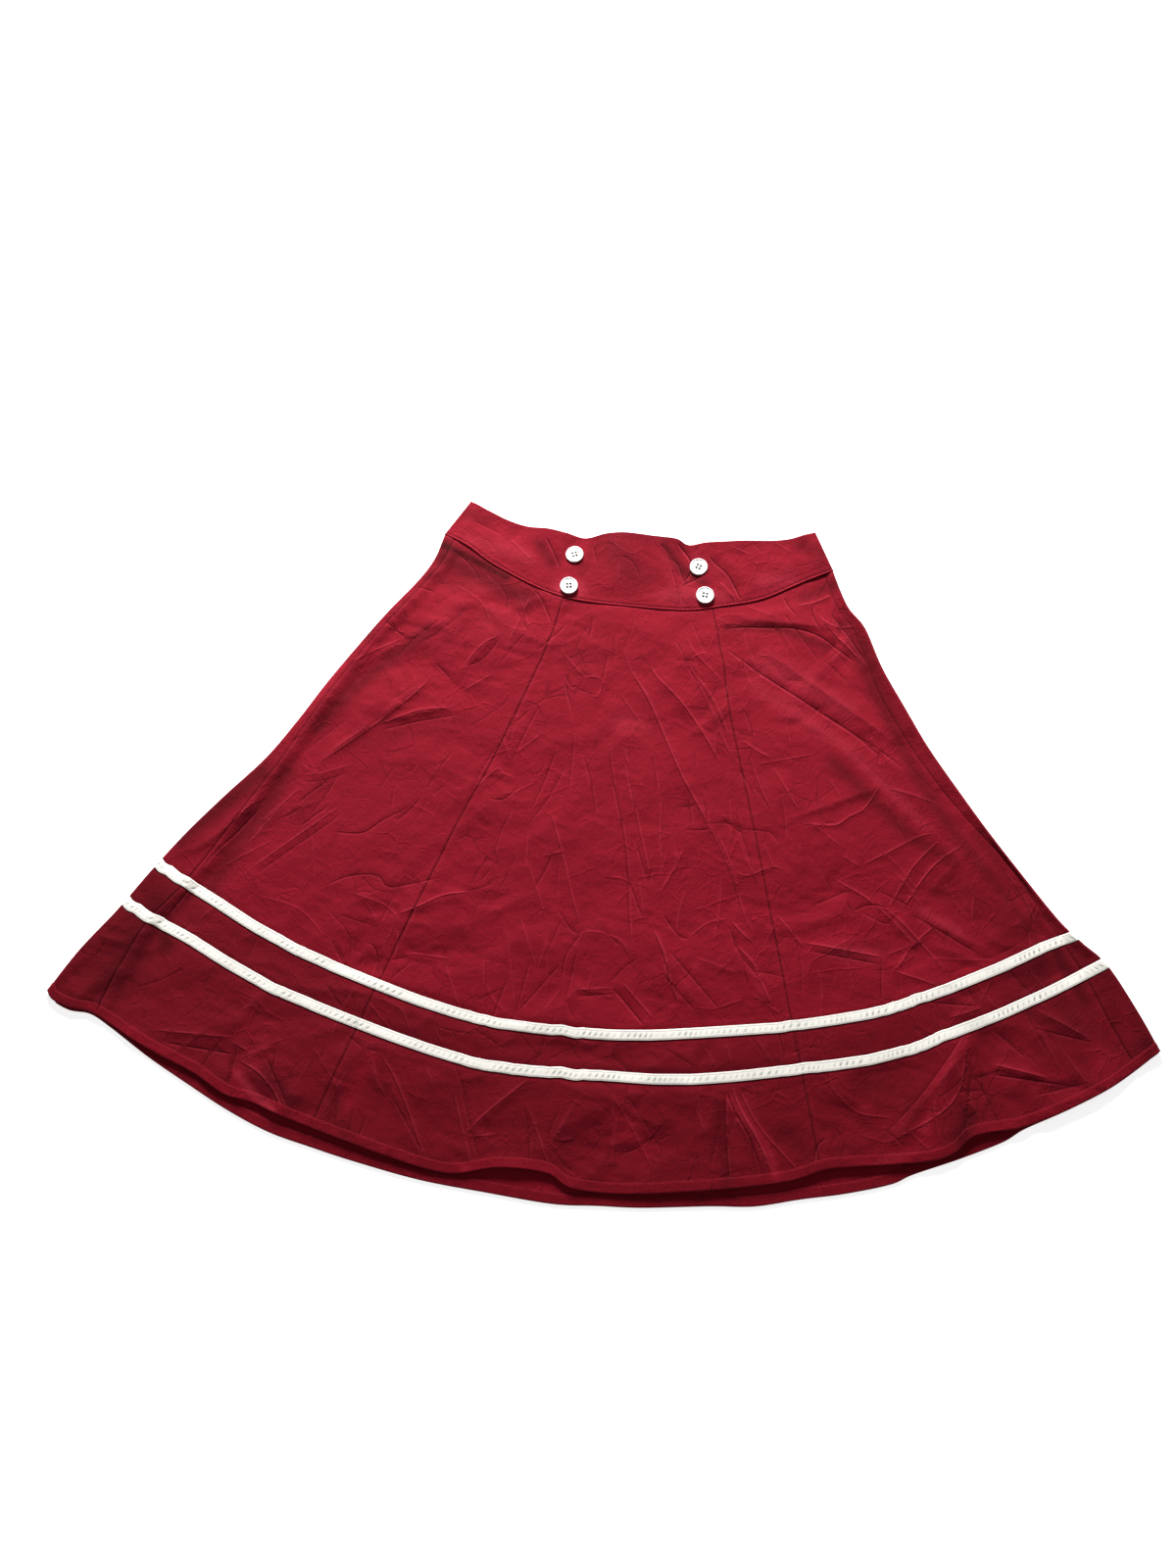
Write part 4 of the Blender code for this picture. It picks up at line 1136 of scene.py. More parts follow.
def crinkle(finish, flat, body):
    """Fine dry creases of cotton long in use, in millimetres: broken webs of straight lines, whose hollows
    the material also darkens as painted shade.
    """
    bend = finish.node("ShaderNodeTexNoise", None, {"Vector": flat, "Scale": 30.0, "Detail": 2.0}, 1)
    total = 0.0
    for scale, half_width, height, low in ((30.0, 0.0012, 0.26, 0.44), (66.0, 0.0009, 0.17, 0.46)):
        bent = finish.node("ShaderNodeVectorMath", {"operation": "MULTIPLY_ADD"},
                           {0: bend, 1: (0.5 / scale, 0.5 / scale, 0.0), 2: flat})
        edge = finish.node("ShaderNodeTexVoronoi", {"feature": "DISTANCE_TO_EDGE"},
                           {"Vector": bent, "Scale": scale})
        line = (1.0 - edge / (scale * half_width)).clamp()
        kept = ((finish.noise(body, scale * 0.55, 2.0) - low) * 9.0).clamp()
        turned = ((finish.noise(body, scale * 0.4, 1.0) - 0.47) * 12.0).clamp(-1.0, 1.0)
        total = line * kept * turned * height + total
    return total


def cotton_finish(cloth):
    """Sateen cotton: twill, short nap, uneven dye, fine creases and the sharp lines of the large ones, with
    painted light and shade.
    """
    finish = Finish("cotton", Metallic=0.0, Sheen_Weight=0.08, Sheen_Roughness=0.5,
                    Sheen_Tint=(1.0, 0.16, 0.24, 1), Specular_IOR_Level=0.06)
    flat = finish.place("UV")
    body = finish.place("Object")
    u, v = finish.parts(flat)
    thread = 2 * math.pi / cloth.thread_pitch
    wander = finish.noise(flat, 900.0, 2.0)
    twill = ((u + v * 0.62) * thread + wander * 2.2).sine()
    weft = (v * (thread * 0.9)).sine()
    nap = finish.noise(flat, 520.0, 4.0, 0.65)
    patchy = finish.noise(body, 26.0, 4.0, 0.6)
    wash = finish.noise(body, 7.0, 2.0)
    crest = finish.attribute("crest")
    line, fold, dark = finish.attribute("line"), finish.attribute("fold"), finish.attribute("dark")
    sharp = (1.0 - abs(line) / cloth.crease_reach).clamp()
    shaded = (1.0 - abs(line + SHADED_PLACE) / cloth.crease_reach).clamp()
    lit = (1.0 - abs(line - LIT_PLACE) / LIT_REACH).clamp()
    creases = crinkle(finish, flat, body)
    relief = creases + sharp * fold * cloth.crease_relief
    shade = 0.5 + (patchy - 0.5) * 0.55 + (nap - 0.5) * 0.8 + (wash - 0.5) * 0.3 + twill * 0.03
    colour = finish.mix(shade.clamp(), tuple(cloth.shadow_colour), tuple(cloth.colour))
    # Crests are lightened: partly rubbed wear of the cotton, partly a painted highlight
    colour = finish.mix((crest * 0.14).clamp(), colour, tuple(cloth.rub_and_highlight_colour))
    # Painted shade in a thin line beside each seam and along each tape's edge
    sewn = (finish.attribute("sewn") - (SEWN_SHADE_REACH - SEWN_SHADE_LINE)) / SEWN_SHADE_LINE
    # Painted shade: the shaded side of each large crease's line, the hollows of the fine creases and the
    # hollows between crests
    crease_shade = shaded * abs(fold) * cloth.crease_dark - creases * 1.7 - crest * 0.3
    shadow = crease_shade.clamp(0.0, 0.6) + sewn.clamp() * 0.65
    # Painted highlight on the lit side of each large crease's line
    rim = lit * abs(fold) * cloth.crease_light
    colour = finish.mix(shadow.clamp(0.0, 0.85), colour, tuple(cloth.crease_and_seam_shade_colour))
    # Below zero the dark mark is painted light
    colour = finish.mix((dark * -0.6).clamp(), colour, tuple(cloth.rub_and_highlight_colour))
    colour = finish.mix(rim.clamp(0.0, 0.6), colour, tuple(cloth.rub_and_highlight_colour))
    # Above zero the dark mark is painted shade: below the upper tape and in the dark streaks
    colour = finish.mix((dark * cloth.border_shade_share).clamp(0.0, 0.92), colour, tuple(cloth.border_shade_colour))
    small = finish.noise(flat, 240.0, 5.0, 0.6)
    bumps = finish.bump(twill * 0.5 + weft * 0.25 + nap * 0.9, 0.00010, 0.8)
    bumps = finish.bump(small + finish.noise(body, 85.0, 5.0, 0.6) * 2.2, 0.00045, 0.9, bumps)
    bumps = finish.bump(relief, 0.001, 1.0, bumps)
    return finish.finish(Base_Color=colour, Roughness=(0.72 + nap * 0.16 - crest * 0.05).clamp(0.4, 0.95),
                         Normal=bumps)


def tape_finish(trim):
    """Woven cotton tape: cross ribs, and painted grey shade in the hollows between the puckers."""
    finish = Finish("tape", Metallic=0.0, Sheen_Weight=0.25, Sheen_Roughness=0.5, Specular_IOR_Level=0.25)
    flat = finish.place("UV")
    u, v = finish.parts(flat)
    rib = 2 * math.pi / trim.rib_pitch
    ribs = (u * rib).sine()
    warp = (v * (rib * 1.4)).sine()
    fluff = finish.noise(flat, 700.0, 3.0, 0.6)
    stain = finish.noise(finish.place("Object"), 60.0, 3.0, 0.6)
    crest = finish.attribute("crest")
    colour = finish.mix((0.5 + (stain - 0.5) * 0.8 + (fluff - 0.5) * 0.5).clamp(),
                        tuple(trim.tape_shadow), tuple(trim.tape_colour))
    colour = finish.mix((crest * -1.0).clamp(0.0, 0.85), colour, tuple(trim.hollow_shade_colour))
    relief = finish.bump(ribs * 0.6 + warp * 0.3 + fluff * 0.5, 0.00012, 0.9)
    return finish.finish(Base_Color=colour, Roughness=(0.62 + fluff * 0.2).clamp(), Normal=relief)


TWIST_PITCH = 0.0007


def thread_finish(name, colour, roughness):
    """Sewing thread with its twist."""
    finish = Finish(name, Metallic=0.0, Specular_IOR_Level=0.15)
    u, v = finish.parts(finish.place("UV"))
    twist = ((u + v * 2.2) * (2 * math.pi / TWIST_PITCH)).sine()
    relief = finish.bump(twist, 0.00006, 0.7)
    # The thread is darker in the grooves of its twist: painted shade
    dark = tuple(0.72 * part for part in colour)
    return finish.finish(Base_Color=finish.mix(0.5 + twist * 0.5, dark, tuple(colour)),
                         Roughness=(roughness + twist * 0.04).clamp(), Normal=relief)


def button_finish(name, dark, light):
    """Polished plastic with faint turning marks and a few rubbed places."""
    finish = Finish(name, Metallic=0.0, Specular_IOR_Level=0.5, Coat_Roughness=0.12,
                    Subsurface_Weight=0.08, Subsurface_Scale=0.002)
    body = finish.place("Object")
    cloud = finish.noise(body, 220.0, 3.0, 0.5)
    marks = finish.noise(body, 1500.0, 2.0, 0.5)
    colour = finish.mix(cloud, tuple(dark), tuple(light))
    return finish.finish(Base_Color=colour, Roughness=(0.16 + marks * 0.12).clamp(),
                         Coat_Weight=0.4 + cloud * 0.2, Normal=finish.bump(marks, 0.00002, 0.6))


def floor_finish(stage):
    """Plain pale floor."""
    finish = Finish("pale floor", Roughness=0.9, Specular_IOR_Level=0.1)
    tint = finish.noise(finish.place("Object"), 3.0, 2.0)
    high = tuple(stage.floor_colour)
    low = tuple(part * 0.985 for part in high)
    finish.shader.inputs["Emission Color"].default_value = (1, 1, 1, 1)
    finish.shader.inputs["Emission Strength"].default_value = stage.floor_glow
    return finish.finish(Base_Color=finish.mix(tint, low, high))


# ---------------------------------------------------------------- meshes

def add_piece(name, points, faces, uv, finish, marks=None, smooth_angle=None):
    """Object of a mesh whose points are in millimetres, riding on the skirt's one body."""
    mesh = bpy.data.meshes.new(name)
    mesh.from_pydata((np.asarray(points) * MM).tolist(), [], faces)
    mesh.polygons.foreach_set("use_smooth", np.ones(len(mesh.polygons), bool))
    loops = np.empty(len(mesh.loops), int)
    mesh.loops.foreach_get("vertex_index", loops)
    layer = mesh.uv_layers.new(name="cloth")
    layer.data.foreach_set("uv", (np.asarray(uv) * MM)[loops].ravel())
    for mark, values in (marks or {}).items():
        numbers = np.asarray(values, float).ravel()
        mesh.attributes.new(mark, "FLOAT", "POINT").data.foreach_set("value", numbers)
    if smooth_angle is not None:
        mesh.set_sharp_from_angle(angle=smooth_angle)
    mesh.materials.append(finish)
    mesh.update()
    made = bpy.data.objects.new(name, mesh)
    bpy.context.scene.collection.objects.link(made)
    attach(made, "root")
    return made


def grid_faces(numbers):
    """Quads between the neighbours in a grid of point numbers."""
    corners = (numbers[:-1, :-1], numbers[1:, :-1], numbers[1:, 1:], numbers[:-1, 1:])
    return np.stack([corner.ravel() for corner in corners], axis=1).tolist()


CREST_SCALE = 0.4
CREST_SPREAD = 3
SHARP_ANGLE = math.radians(60)


def crest_of(height):
    """How far each point of a grid stands above its surroundings, from -1 to 1."""
    spread = height.astype(float)
    window = 2 * CREST_SPREAD + 1
    for axis in (0, 1):
        padded = np.concatenate([spread.take([0], axis)] * CREST_SPREAD + [spread]
                                + [spread.take([-1], axis)] * CREST_SPREAD, axis)
        total = np.cumsum(padded, axis)
        total = np.concatenate((np.zeros_like(total.take([0], axis)), total), axis)
        size = height.shape[axis]
        upper = total.take(np.arange(window, window + size), axis)
        spread = (upper - total.take(np.arange(size), axis)) / window
    return np.clip((height - spread) / CREST_SCALE, -1, 1)


def shell(name, outer, inner, uv, finish, marks=None):
    """Closed cloth between a fine outer grid and an inner grid with every second row and column.

    The marks are numbers for each point of the outer grid, for the material.
    """
    inner = inner[::2, ::2]
    fine = np.arange(outer[..., 0].size).reshape(outer.shape[:2])
    coarse = np.arange(inner[..., 0].size).reshape(inner.shape[:2]) + fine.size
    faces = grid_faces(fine) + grid_faces(coarse[:, ::-1])
    edges = ((fine[0], coarse[0]), (fine[-1, ::-1], coarse[-1, ::-1]),
             (fine[::-1, 0], coarse[::-1, 0]), (fine[:, -1], coarse[:, -1]))
    for over, under in edges:
        over, under = over.tolist(), under.tolist()
        faces += [over[2 * step:2 * step + 3] + under[step:step + 2][::-1] for step in range(len(under) - 1)]
    points = np.vstack((outer.reshape(-1, 3), inner.reshape(-1, 3)))
    places = np.vstack((uv.reshape(-1, 2), uv[::2, ::2].reshape(-1, 2)))
    marks = {"crest": crest_of(outer[..., 2]), **(marks or {})}
    unmarked = np.zeros(coarse.size)
    marks = {mark: np.concatenate((values.ravel(), unmarked)) for mark, values in marks.items()}
    return add_piece(name, points, faces, places, finish, marks)


def loop_strip(name, outer, under, uv, marks, finish, back=slice(None), flip=False):
    """Closed strip between an outer and an under grid, whose columns run along it.

    Each mark is a pair of grids, for the outer and the under one. Back picks the rows of the under grid, and
    flip turns the faces over.
    """
    def closed(over, below):
        section = np.concatenate((over, below[::-1][back])).swapaxes(0, 1)
        return section[::-1] if flip else section
    sections, places = closed(outer, under), closed(uv, uv)
    marks = {mark: closed(*pair) for mark, pair in marks.items()}
    count, around = sections.shape[:2]
    index = np.arange(count * around).reshape(count, around)
    turned = np.roll(index, -1, axis=1)
    quads = np.stack((index[:-1], turned[:-1], turned[1:], index[1:]), axis=-1).reshape(-1, 4).tolist()
    faces = quads + [index[0][::-1].tolist(), index[-1].tolist()]
    return add_piece(name, sections.reshape(-1, 3), faces, places.reshape(-1, 2), finish, marks, SHARP_ANGLE)


# Stitches: points round one, where its two rings stand along it, and how deep its ends and middle lie
STITCH_SIDES = 5
STITCH_RINGS = (0.16, 0.84)
STITCH_END_DEPTH = 0.3
STITCH_LIFT = 0.35


def stitch_line(name, path, normals, length, pitch, width, height, finish, sink=0.0):
    """Row of stitches along a path of points, each a small rounded bar lying on the cloth."""
    steps = np.linalg.norm(np.diff(path, axis=0), axis=1)
    marks = np.concatenate(([0], np.cumsum(steps)))
    starts = np.arange(pitch * 0.5, marks[-1] - pitch * 0.5, pitch)
    ring_uv = [(share * length, 0.2 * corner * width)
               for share in STITCH_RINGS for corner in range(STITCH_SIDES)]
    points, faces, uv = [], [], []

    def at(distance, table):
        return np.array([np.interp(distance, marks, table[:, axis]) for axis in range(3)])

    def unit(vector):
        return vector / np.linalg.norm(vector)
    for start in starts:
        tail, head = at(start - length / 2, path), at(start + length / 2, path)
        up = unit(at(start, normals))
        side = unit(np.cross(up, unit(head - tail)))
        first = len(points)
        points.append(tail - up * (sink + height * STITCH_END_DEPTH))
        for share in STITCH_RINGS:
            centre = tail + (head - tail) * share + up * (height * STITCH_LIFT - sink)
            for corner in range(STITCH_SIDES):
                angle = 2 * math.pi * corner / STITCH_SIDES
                round_it = side * (math.cos(angle) * width) + up * (math.sin(angle) * height)
                points.append(centre + round_it / 2)
        points.append(head - up * (sink + height * STITCH_END_DEPTH))
        uv += [(0, 0), *ring_uv, (length, 0)]
        last = first + 1 + 2 * STITCH_SIDES
        for corner in range(STITCH_SIDES):
            after = (corner + 1) % STITCH_SIDES
            near, near_after = first + 1 + corner, first + 1 + after
            far, far_after = near + STITCH_SIDES, near_after + STITCH_SIDES
            faces += [[first, near_after, near], [near, near_after, far_after, far], [far, far_after, last]]
    return add_piece(name, points, faces, uv, finish)


# ---------------------------------------------------------------- the skirt's sheets

# Panels: how far they reach under the waistband and the hem, in rows, how far they sink there, in
# millimetres, and how far from a seam the columns beside it stand
PANEL_TUCK = 0.16
HEM_TUCK = 0.25
BAND_DIP = 1.1
HEM_DIP = 0.35
EDGE_STEPS = (0.0, 0.35, 0.9, 1.8, 3.0)


def column_shares(width, spacing):
    """Shares across a sheet: close together at both edges, then evenly spaced."""
    edge = np.array(EDGE_STEPS) / width
    count = 2 * max(4, round((1 - 2 * edge[-1]) * width / spacing / 2))
    middle = np.linspace(edge[-1], 1 - edge[-1], count + 1)
    return np.concatenate((edge[:-1], middle, (1 - edge[:-1])[::-1]))


def panel_rows(spacing):
    """Rows of a panel, from just under the waistband to just under the hem's turn."""
    under_band = [-PANEL_TUCK, -PANEL_TUCK / 2]
    return np.concatenate((under_band, rows_between(0, HEM_ROW + HEM_TUCK, spacing)))


def sinking(rows):
    """How far a panel sinks in its rows under the waistband, and in its rows under the hem."""
    dip = BAND_DIP * (1 - ease((rows + PANEL_TUCK) / PANEL_TUCK))
    return dip, HEM_DIP * ease((rows - HEM_ROW) / HEM_TUCK)


def from_tape(rows):
    """Distance in millimetres from the edge of the nearer tape, below zero under it."""
    marks = at_row(row_marks, rows)
    return np.minimum(*(np.abs(marks - at_row(row_marks, tape_row + 0.5)) - TAPE_WIDTH / 2
                        for tape_row in (UPPER_TAPE_ROW, LOWER_TAPE_ROW)))


def border(rows):
    """Share of the painted shade: none above the upper tape, full below it."""
    return ease(rows - UPPER_TAPE_ROW)


def front_strip(rows, middle_row, spacing):
    """Rows across the whole front: row, place across and plan place of each point, and distance travelled."""
    start, stop = at_row(left_seam, middle_row), at_row(right_seam, middle_row)
    width = at_row((left_width + right_width) / 2, middle_row)
    across = np.linspace(start, stop, int((stop - start) * width / spacing))
    row_grid, across = np.broadcast_arrays(rows[:, None], across[None])
    return row_grid, across, front_plan(across, down_at(row_grid, across)), (across[:1] - start) * width


def front_sheet(start, stop, spacing, thickness):
    """Outer and inner points, UV and marks of the top layer between two seams."""
    rows = panel_rows(spacing)[:, None]
    hem_width = float((stop[-1] - start[-1]) * (left_width[-1] + right_width[-1]) / 2)
    share = column_shares(hem_width, spacing * 1.25)[None]
    across = at_row(start, rows) * (1 - share) + at_row(stop, rows) * share
    rows = np.broadcast_to(rows, across.shape)
    points = front_plan(across, down_at(rows, across))
    dip, tuck = sinking(rows)
    height = skirt_top(rows, across, points) - dip - tuck
    outer = raise_to(points, height)
    inner = raise_to(points, height - thickness)
    width = at_row((left_width + right_width) / 2, rows)
    uv = np.stack(((across - 0.5) * width, -at_row(row_marks, rows)), axis=-1)
    x, y = points[..., 0], points[..., 1]
    line, fold = crease_lines(x, y, SKIRT_CREASES)
    from_seam = np.minimum(share, 1 - share) * at_row(stop - start, rows) * width
    # Marks for the material: painted shade below the upper tape, streaks of painted light and shade, and
    # painted shade beside the seams and tapes
    return outer, inner, uv, {"line": line, "fold": fold, "dark": border(rows) + painted_streaks(x, y, PAINTED_STREAKS),
                              "sewn": np.maximum(SEWN_SHADE_REACH - from_seam, SEWN_SHADE_REACH - from_tape(rows))}


# Back halves: distance of the flat part from the side fold, mesh spacing of the flat part, steps round the
# fold for the cloth and for its hem and tapes, how much thinner the cloth is than the front's, and its sink
# underneath
FLAT_START = 14.0
FLAT_SPACING = 9.0
TURN_STEPS = 16
TRIM_STEPS = 14
BACK_THINNER = 0.1
UNDERSIDE_ROOM = 0.45


def back_section(rows, side, flat_spacing, turn_steps, wrap_spacing, extra=0.0):
    """Middle surface, normals, UV and layer of one back half, from the centre, round the fold, to its seam.

    Each row is drawn in its own section: distance from the fold, and height. The layer is 0 underneath and 1
    on top.
    """
    rows = np.asarray(rows, float)[:, None]
    width = at_row(left_width if side < 0 else right_width, rows)
    seam = at_row(left_seam if side < 0 else 1 - right_seam, rows)
    thickness = CLOTH + extra
    inset = seam * width

    def lift(distance):
        across = distance / width if side < 0 else 1 - distance / width
        across = np.broadcast_to(across, np.broadcast(distance, width).shape)
        here = np.broadcast_to(rows, across.shape)
        points = front_plan(across, down_at(here, across))
        return skirt_top(here, across, points) - CLOTH

    fold_top = lift(np.full(rows.shape, 1.0))
    middle = (fold_top + thickness) / 2
    radius = middle - thickness / 2
    half_width = 0.5 * float(width.max())
    flat_count = 2 * round(half_width / flat_spacing / 2)
    flat_share = np.linspace(0.5, 0, flat_count + 1)[None, :-1]
    near = FLAT_START / width
    flat_share = near + flat_share / 0.5 * (0.5 - near)
    flat_distance = flat_share * width
    angle = np.linspace(0, math.pi, turn_steps + 1)[None]
    turn_distance = middle - radius * np.sin(angle)
    turn_height = middle - radius * np.cos(angle)
    wrap_count = 2 * max(2, round(float(inset.max()) / wrap_spacing / 2))
    wrap_share = np.linspace(0, 1, wrap_count + 1)[None, 1:]
    wrap_distance = middle + (inset - middle) * wrap_share
    wrap_height = lift(wrap_distance) + thickness / 2
    distance = np.concatenate((flat_distance, turn_distance, wrap_distance), axis=1)
    height = np.concatenate((np.full(flat_distance.shape, thickness / 2), turn_height, wrap_height), axis=1)
    turned = np.broadcast_to(angle / math.pi, turn_distance.shape)
    layer = np.concatenate((np.zeros(flat_distance.shape), turned, np.ones(wrap_distance.shape)), axis=1)
    across = distance / width if side < 0 else 1 - distance / width
    here = np.broadcast_to(rows, across.shape)
    down = down_at(here, across)
    plan = (1 - layer[..., None]) * back_plan(across, down) + layer[..., None] * front_plan(across, down)
    grid = raise_to(plan, height)
    normals = normals_of(grid) * (1 if side < 0 else -1)
    steps = np.linalg.norm(np.diff(grid, axis=1), axis=-1)
    travel = np.concatenate((np.zeros(rows.shape), np.cumsum(steps, axis=1)), axis=1)
    uv = np.stack((travel, np.broadcast_to(-at_row(row_marks, rows), travel.shape)), axis=-1)
    return grid, normals, uv, layer


def back_sheet(side, spacing, thickness):
    """Outer and inner points, UV and marks of one back half."""
    rows = panel_rows(spacing)
    grid, normals, uv, layer = back_section(rows, side, FLAT_SPACING, TURN_STEPS, spacing * 1.2)
    dip, tuck = sinking(rows[:, None])
    rise = CLOTH / 2 - UNDERSIDE_ROOM * (1 - layer) - tuck - dip * layer
    outer = grid + normals * rise[..., None]
    inner = outer - normals * thickness
    streaks = painted_streaks(outer[..., 0], outer[..., 1], PAINTED_STREAKS)
    # Painted shade below the upper tape on both layers, extra painted shade and the painted streaks on the
    # top layer, and painted shade beside the tapes
    marks = {"dark": border(rows)[:, None] + (0.5 + streaks) * layer,
             "sewn": np.broadcast_to(SEWN_SHADE_REACH - from_tape(rows)[:, None], outer.shape[:2])}
    return outer, inner, uv, marks


# ---------------------------------------------------------------- settings

class SkirtCloth(bpy.types.PropertyGroup):
    """Cloth of the skirt."""
    thickness: FloatProperty(name="Thickness", description="Thickness of the cloth",
                             default=0.0008, unit="LENGTH")
    spacing: FloatProperty(name="Mesh spacing", description="Distance between points of the mesh",
                           default=0.0017, unit="LENGTH")
    thread_pitch: FloatProperty(name="Thread pitch", description="Distance between twill lines",
                                default=0.00055, unit="LENGTH")
    colour: FloatVectorProperty(name="Colour", description="Lighter dye",
                                default=(0.217, 0.0047, 0.0140), subtype="COLOR")
    shadow_colour: FloatVectorProperty(name="Dark colour", description="Darker dye",
                                       default=(0.158, 0.0032, 0.0098), subtype="COLOR")
    # Lightens rubbed crests (real wear with a painted highlight), the creases' lit sides and the light
    # streaks (painted light)
    rub_and_highlight_colour: FloatVectorProperty(name="Crest colour", description="Rubbed crests of the creases",
                                      default=(0.340, 0.022, 0.040), subtype="COLOR")
    # Painted shade in the creases' lines and hollows, and beside the seams and tape edges
    crease_and_seam_shade_colour: FloatVectorProperty(name="Valley colour", description="Bottoms of the creases",
                                       default=(0.060, 0.0012, 0.0035), subtype="COLOR")
    # Painted shade below the upper tape and in the dark streaks
    border_shade_colour: FloatVectorProperty(name="Border colour", description="Dark dye below the upper tape",
                                       default=(0.028, 0.0001, 0.0008), subtype="COLOR")
    border_shade_share: FloatProperty(name="Border strength", description="Share of the dark dye in the border",
                                default=0.34)
    crease_reach: FloatProperty(name="Crease reach", description="Half-width of a crease's line, in mm",
                                default=1.1)
    crease_dark: FloatProperty(name="Crease shade", description="How dark a crease's line is",
                               default=0.62)
    crease_light: FloatProperty(name="Crease rim", description="How bright a crease's lit side is",
                                default=0.5)
    crease_relief: FloatProperty(name="Crease relief", description="Height of the line, share of the crease",
                                 default=0.36)


class SkirtTrim(bpy.types.PropertyGroup):
    """Tapes, threads and stitches."""
    tape_thickness: FloatProperty(name="Tape thickness", description="Thickness of the tape",
                                  default=0.0006, unit="LENGTH")
    rib_pitch: FloatProperty(name="Rib pitch", description="Distance between the tape's ribs",
                             default=0.0008, unit="LENGTH")
    stitch_length: FloatProperty(name="Stitch length", description="Length of one stitch",
                                 default=0.0026, unit="LENGTH")
    tape_colour: FloatVectorProperty(name="Tape colour", description="Tape", default=(0.90, 0.875, 0.80),
                                     subtype="COLOR")
    tape_shadow: FloatVectorProperty(name="Tape shade", description="Worn places of the tape",
                                     default=(0.85, 0.82, 0.75), subtype="COLOR")
    # Painted shade in the hollows of the tape's puckers
    hollow_shade_colour: FloatVectorProperty(name="Hollow colour", description="Hollows of the tape's puckers",
                                       default=(0.21, 0.235, 0.21), subtype="COLOR")
    red_thread: FloatVectorProperty(name="Red thread", description="Thread of the seams and hems",
                                    default=(0.26, 0.012, 0.022), subtype="COLOR")
    white_thread: FloatVectorProperty(name="White thread", description="Thread of the tapes and buttons",
                                      default=(0.55, 0.46, 0.44), subtype="COLOR")


class SkirtButtons(bpy.types.PropertyGroup):
    """Buttons of the waistband."""
    diameter: FloatProperty(name="Diameter", description="Diameter of a button", default=0.018, unit="LENGTH")
    height: FloatProperty(name="Height", description="Height of a button", default=0.0021, unit="LENGTH")
    sides: IntProperty(name="Sides", description="Points round a button", default=64, min=16, max=128)
    colour: FloatVectorProperty(name="Colour", description="Plastic", default=(0.86, 0.86, 0.85),
                                subtype="COLOR")
    # Near-black walls of the holes: painted shade
    hole_shade_colour: FloatVectorProperty(name="Hole colour", description="Walls of the holes",
                                     default=(0.03, 0.025, 0.025), subtype="COLOR")
    shade_colour: FloatVectorProperty(name="Cloudy colour", description="Cloudy places of the plastic",
                                      default=(0.80, 0.80, 0.78), subtype="COLOR")


class SkirtStage(bpy.types.PropertyGroup):
    """Floor and lights."""
    floor_colour: FloatVectorProperty(name="Floor colour", description="Floor", default=(0.90, 0.90, 0.90),
                                      subtype="COLOR")
    floor_glow: FloatProperty(name="Floor glow", description="Light that the floor gives off", default=0.68)
    key_power: FloatProperty(name="Key light", description="Light from beyond the waist", default=111.0,
                             unit="POWER")
    fill_power: FloatProperty(name="Fill light", description="Soft light from above", default=3.2,
                              unit="POWER")
    sky: FloatProperty(name="Sky", description="Even light from all sides", default=0.22)


def settings(context, group):
    return getattr(context.scene, "skirt_" + group)


def in_mm(value):
    return value / MM


finishes = {}


# ---------------------------------------------------------------- operators

FLOOR_SIZE = 12.0

# Lights: name, size, place and the point that it shines at, in metres
LAMPS = (
    ("key", 0.5, (-0.32, 1.68, 0.75), (-0.02, 0.0, 0.0)),
    ("fill", 2.4, (0.2, -0.3, 2.3), (0.0, 0.0, 0.0)),
)
CAMERA_PLACE = (-0.0049, -0.2487, 1.1070)
CAMERA_TURN = 4.5
CAMERA_TILT = 15.0
LENS = 27.0
SENSOR = 36.0
NEAR_LIMIT = 0.01


class SKIRT_OT_stage(bpy.types.Operator):
    """Floor, lights and camera"""
    bl_idname = "skirt.stage"
    bl_label = "Stage"

    def execute(self, context):
        stage = settings(context, "stage")
        bpy.ops.object.select_all(action="DESELECT")
        bpy.ops.mesh.primitive_plane_add(size=FLOOR_SIZE, location=(0, 0, 0))
        floor = context.active_object
        floor.name = "floor"
        floor.data.materials.append(floor_finish(stage))

        for name, size, place, aim in LAMPS:
            light = bpy.data.lights.new(name, "AREA")
            light.energy, light.size = getattr(stage, name + "_power"), size
            lamp = bpy.data.objects.new(name, light)
            lamp.location = place
            lamp.rotation_euler = (Vector(aim) - Vector(place)).to_track_quat("-Z", "Y").to_euler()
            context.scene.collection.objects.link(lamp)

        world = bpy.data.worlds.new("studio")
        world.use_nodes = True
        sky = world.node_tree.nodes["Background"].inputs
        sky["Color"].default_value, sky["Strength"].default_value = (1, 1, 1, 1), stage.sky
        context.scene.world = world
        context.scene.view_settings.view_transform = "Standard"

        turn, tilt = math.radians(CAMERA_TURN), math.radians(CAMERA_TILT)
        right = Vector((math.cos(turn), math.sin(turn), 0))
        up = Vector((-math.sin(turn) * math.cos(tilt), math.cos(turn) * math.cos(tilt), math.sin(tilt)))
        facing = Matrix((right, up, right.cross(up))).transposed().to_4x4()
        view = bpy.data.cameras.new("camera")
        view.lens, view.sensor_width, view.clip_start = LENS, SENSOR, NEAR_LIMIT
        camera = bpy.data.objects.new("camera", view)
        camera.matrix_world = Matrix.Translation(CAMERA_PLACE) @ facing
        context.scene.collection.objects.link(camera)
        context.scene.camera = camera
        return {"FINISHED"}


